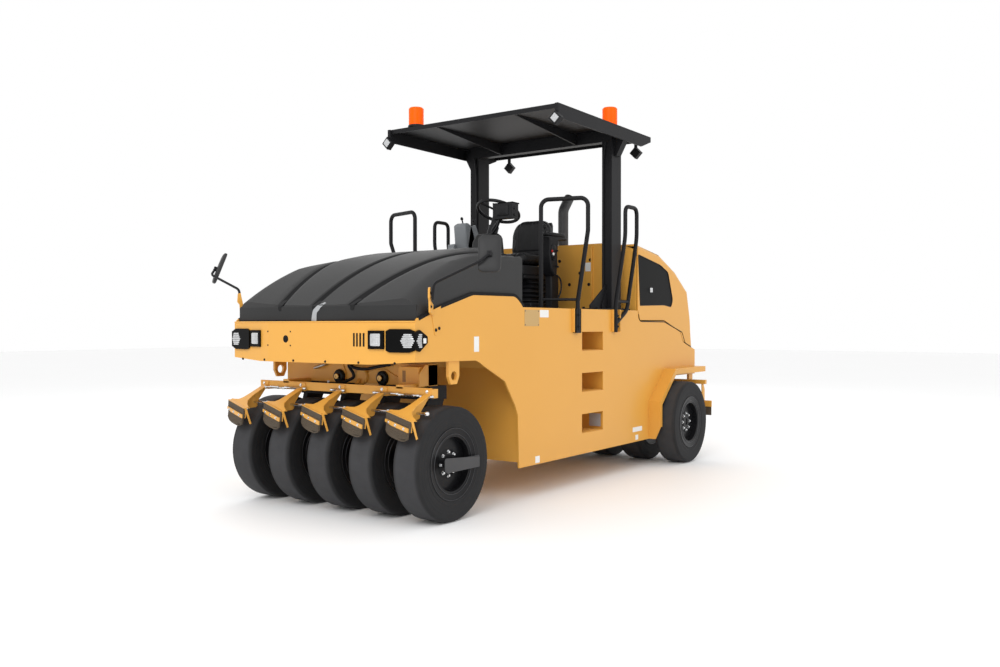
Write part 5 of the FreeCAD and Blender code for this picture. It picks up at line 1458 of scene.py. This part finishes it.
def add_canopy_trim():
    """Square lamps with frosted lenses set on a corner, their brackets, the conduit along the posts
    and the bases of the beacons."""
    lenses, rings, brackets, wires = [], [], [], []
    for x, y, way in ((-1262, 849, 1), (-1262, -849, 1), (-2938, 700, -1), (-2938, -700, -1)):
        across, up = np.array((0, way, 1)) / math.sqrt(2), np.array((0, -way, 1)) / math.sqrt(2)
        centre = (x, y, 2842)
        lenses.append(swell(plate(27, 27, 4), centre, across, up,
                            [(1.0, -1), (1.0, 3), (0.96, 5), (0.05, 6)]))
        rings.append(swell(plate(37, 37, 6), centre, across, up,
                           [(1.0, -30), (1.0, 1.5), (0.95, 2.2), (0.05, 2.2)]))
        brackets.append(bar((x - way * 30 - 5, y - 14, 2866), (x - way * 30 + 5, y + 14, 2960)))
    add("lamp_lenses", LENS, *lenses)
    add("lamp_bodies", BLACK_PLASTIC, *rings)
    for side in SIDES:
        wires.append(hose([(-2344, side * 680, 1420), (-2328, side * 680, 1500),
                           (-2328, side * 680, 2700), (-2328, side * 700, 2850)], 9, 50, 10))
    add("lamp_brackets", BLACK_PAINT, *brackets, *wires)
    bases = [spun([(-2, 72), (12, 70), (20, 60)], (x, y, 2983), UP, 40) for x,
             y in ((-1423, -655), (-2386, 713))]
    add("beacon_bases", BLACK_PLASTIC, *bases)


def add_bulkhead_trim():
    """Two upright stiffening ribs on the bulkhead, bolts with washers and a blank plate."""
    ribs = both(bar((-2640.5, 394, 1402), (-2618, 404, 1990)))
    add("bulkhead_ribs", YELLOW_PAINT, ribs, bevel=1.5 * MM)
    spots = [(378, 1865), (158, 1645), (363, 1642), (52, 1864), (269, 1748), (-160, 1645), (-370, 1865)]
    add("bulkhead_bolts", BLACK_PAINT, bolts([(-2640, y, z) for y, z in spots], AHEAD, 11, 9))
    add("bulkhead_plate", WHITE_CARD, bar((-2640.2, 327, 1762), (-2638.6, 384, 1840)))


def add_hull_plates():
    """Blank plates and foils riveted or stuck to the hull sides."""
    out = PLATE_OUT_MM
    white = [((-298, 1093), (-243, 1195)), ((-1176, 1329), (-1055, 1384)), ((-2739, 334), (-2560, 375)),
             ((-2664, 262), (-2612, 306)), ((-1053, 256), (-995, 306))]
    cards = [bar((low[0], out - 0.4, low[1]), (high[0], out + 1, high[1])) for low, high in white]
    add("white_plates", WHITE_CARD, both(join(*cards)))
    tan = bar((-1045, out - 0.4, 1264), (-850, out + 1.2, 1383))
    add("ochre_plates", TAN_CARD, both(tan))
    rivets = bolts([(x, out + 1.2, z) for x in (-1036, -859) for z in (1273, 1374)], LEFT, 3.4, 2, 16)
    add("plate_rivets", DARK_STEEL, both(rivets))


STEP_LOW, STEP_PITCH = 410, 328            # tread heights


def add_steps():
    """Folded treads with rows of raised rings in the step openings, and a pale pane in the lowest."""
    treads, rings = [], []
    for level in range(3):
        z = STEP_LOW + STEP_PITCH * level
        treads.append(bar((-2020, 600, z - 0.5), (-1679, 836, z + 3)))
        rings += [turned([(0, 5), (0, 12), (3.5, 10), (3.5, 6), (0, 5)], (x, y, z + 3), UP, 14)
                  for x in range(-1990, -1690, 45) for y in (690, 735, 780, 820)]
    add("step_treads", YELLOW_PAINT, both(join(*treads, *rings)))
    add("step_panes", PALE_STEEL, both(bar((-2022.2, 721, 434), (-2019, 826, 539))))


def add_hood_trim():
    """Seam round the hood's lower edge, and the panel, frame and latch of each side vent."""
    out = PLATE_OUT_MM
    seam = rounded([(-2664, out, 1368), (-2677, out, 1327), (-2710, out, 1304), (-3200, out, 1302),
                    (-3600, out, 1202), (-3669, out, 1099), (-3810, out, 1058)], 16)
    vent = [(-2698, 1445), (-2660, 1895), (-3110, 1825), (-3280, 1765), (-3385, 1510), (-3350, 1442),
            (-3195, 1458)]
    corners = [(x, out - 0.6, z) for x, z in vent]
    middle_x, middle_z = np.mean([x for x, _ in vent]), np.mean([z for _, z in vent])
    rim = carry(rounded(corners + [corners[0]], 30), circle(3.2, 6))
    handle = bar((-2935, out - 6, 1568), (-2885, out + 9, 1608))
    latch = join(handle, bolts([(-2910, out + 9, 1588)], LEFT, 10, 5, 16))
    panel = [(x + (middle_x - x) * 0.10, z + (middle_z - z) * 0.14) for x, z in vent]
    add("hood_seams", GROOVE_SHADE, both(carry(seam, circle(4.5, 6))), body="rear_hood_body")
    add("vent_frames", BLACK_PAINT, both(rim), body="rear_hood_body")
    add("vent_latches", CHROME, both(latch), body="rear_hood_body")
    inner = prism(panel, (0, out - 9, 0), AHEAD, UP, -7)
    add("vent_panels", VENT_BLACK, both(inner), body="rear_hood_body", bevel=4 * MM)


def add_tail():
    """Round rear lamps and the clamp on the exhaust."""
    lamps = both(turned([(-4, AXIS), (-4, 46), (8, 46), (14, 38), (16, AXIS)], (-3905, 640, 930),
                        (-1, 0, 0), 32))
    add("tail_lamps", RED_BUTTON, lamps)
    clamp = turned([(-14, 49), (-14, 54), (14, 54), (14, 49), (-14, 49)], (-2790, 0, 1990), UP, 32)
    add("stack_clamp", DARK_STEEL, clamp, slot="stack_steel")


def add_post_feet():
    """Foot plates ahead of the posts, their gussets and bolts."""
    gusset = upright([(-2342, 1640), (-2290, 1586), (-2062, 1440), (-2062, 1404), (-2342, 1404)], 694,
                     12)
    foot = bar((-2360, 600, 1400.5), (-2046, 786, 1413))
    heads = bolts([(x, y, 1413) for x in (-2080, -2200) for y in (630, 760)], UP, 13, 14)
    add("post_feet", BLACK_PAINT, both(join(gusset, foot, heads)), bevel=1.5 * MM)


def add_bumper_openings():
    """Dark slots and a dark round hole on the bumper's face: painted shade of its openings."""
    slots = []
    for index in range(SLOT_COUNT):
        y = SLOT_FIRST + SLOT_STEP * index
        slots.append(bar((face_x(y) - 2, y - 5, 1135), (face_x(y) + 0.5, y + 5, 1221)))
    hole = spun([(-2, 25), (0.6, 25)], (FLAT_FACE, *BUMPER_HOLE), AHEAD, 32)
    add("bumper_slots", SEAL_RUBBER_AND_SHADE, *slots, hole)


def dress(node, finish):
    """Give every slot of a CAD node one finish."""
    for slot in frame["nodes"][node].material_slots:
        slot.material = finish


# ---------------------------------------------------------------- camera, floor, light

CAMERA_SPOT = (4655.6, 4508.8, 1271.0)
# degrees below level, and round from looking back along the machine
CAMERA_DOWN, CAMERA_TURN = 0.521, 35.14


def add_camera():
    """Eye level is at the steps' height, in front of the left front corner."""
    data = bpy.data.cameras.new("camera")
    data.lens, data.sensor_width = 33.0, 36.0
    camera = bpy.data.objects.new("camera", data)
    bpy.context.scene.collection.objects.link(camera)
    camera.location = spot(*CAMERA_SPOT)
    camera.rotation_euler = (math.radians(90 - CAMERA_DOWN), 0, math.radians(90 + CAMERA_TURN))
    bpy.context.scene.camera = camera


def add_floor():
    """A plain pale floor."""
    finish = Finish("pale floor")
    cloud = finish.noise(0.6, 2.0)
    mesh = bpy.data.meshes.new("floor")
    mesh.from_pydata([(-40, -40, 0), (40, -40, 0), (40, 40, 0), (-40, 40, 0)], [], [(0, 1, 2, 3)])
    mesh.materials.append(finish.done(Base_Color=finish.mix(cloud, (0.93, 0.93, 0.93),
                                                            (0.95, 0.95, 0.95)), Roughness=0.55 +
                                      cloud * 0.1))
    floor = bpy.data.objects.new("floor", mesh)
    bpy.context.scene.collection.objects.link(floor)


def add_area(name, place, aim, size, power):
    """A soft rectangular light that faces a point."""
    data = bpy.data.lights.new(name, "AREA")
    data.shape = "RECTANGLE"
    data.size, data.size_y = size
    data.energy = power
    lamp = bpy.data.objects.new(name, data)
    bpy.context.scene.collection.objects.link(lamp)
    lamp.location = place
    lamp.rotation_euler = (Vector(aim) - Vector(place)).to_track_quat("-Z", "Y").to_euler()


def add_light():
    """A white world and three large soft lights."""
    scene = bpy.context.scene
    scene.view_settings.view_transform = "Standard"
    world = bpy.data.worlds.new("studio")
    scene.world = world
    world.use_nodes = True
    world.node_tree.nodes["Background"].inputs["Color"].default_value = (1, 1, 1, 1)
    world.node_tree.nodes["Background"].inputs["Strength"].default_value = 1.0
    add_area("front light", (9, 2.5, 7), UP, (6, 5), 420)
    add_area("side light", (1, 10, 5), UP, (7, 5), 120)
    add_area("back light", (-8, -6, 6), (0, 0, 1.5), (6, 4), 150)


# ---------------------------------------------------------------- putting it together

NODE_FINISH = {
    "yellow_paint": YELLOW_PAINT, "black_paint": BLACK_PAINT, "deck_plate": DECK_PLATE,
    "grey_moulding": GREY_MOULDING, "black_plastic": BLACK_PLASTIC, "black_mesh": VENT_BLACK,
    "lamp_glass": LAMP_BLACK, "amber_lens": AMBER, "seat_vinyl": SEAT_VINYL, "stack_steel": STACK_STEEL,
    "engine_paint": ENGINE_CASTING, "scraper_rubber": SCRAPER_MAT, "tyre_rubber": TYRE_RUBBER,
    "rim_paint": RIM_PAINT, "brown_paint": YELLOW_PAINT,
}


def dress_nodes():
    """Give every CAD node the finish of its material slot."""
    for part in frame["record"]["subparts"]:
        for slot in frame["nodes"][part["node"]].material_slots:
            slot.material = NODE_FINISH[part["material_slot"]]


add_camera()
add_floor()
add_light()
dress_nodes()
add_wheels()
add_cover()
add_cover_trim()
add_seals()
add_bumper_trim()
add_front_lamps()
add_yoke()
add_pins()
add_scrapers()
add_scraper_rods()
add_front_hoses()
add_hub_arms()
add_mirrors()
add_rails()
add_seat()
add_consoles()
add_column()
add_wheel_details()
add_canopy_trim()
add_bulkhead_trim()
add_hull_plates()
add_steps()
add_hood_trim()
add_tail()
add_post_feet()
add_bumper_openings()
dress("side_console", GREY_LIGHT)
dress("front_axle_shaft", ARM_GREY)
dress("rear_scraper_bar", YELLOW_PAINT)
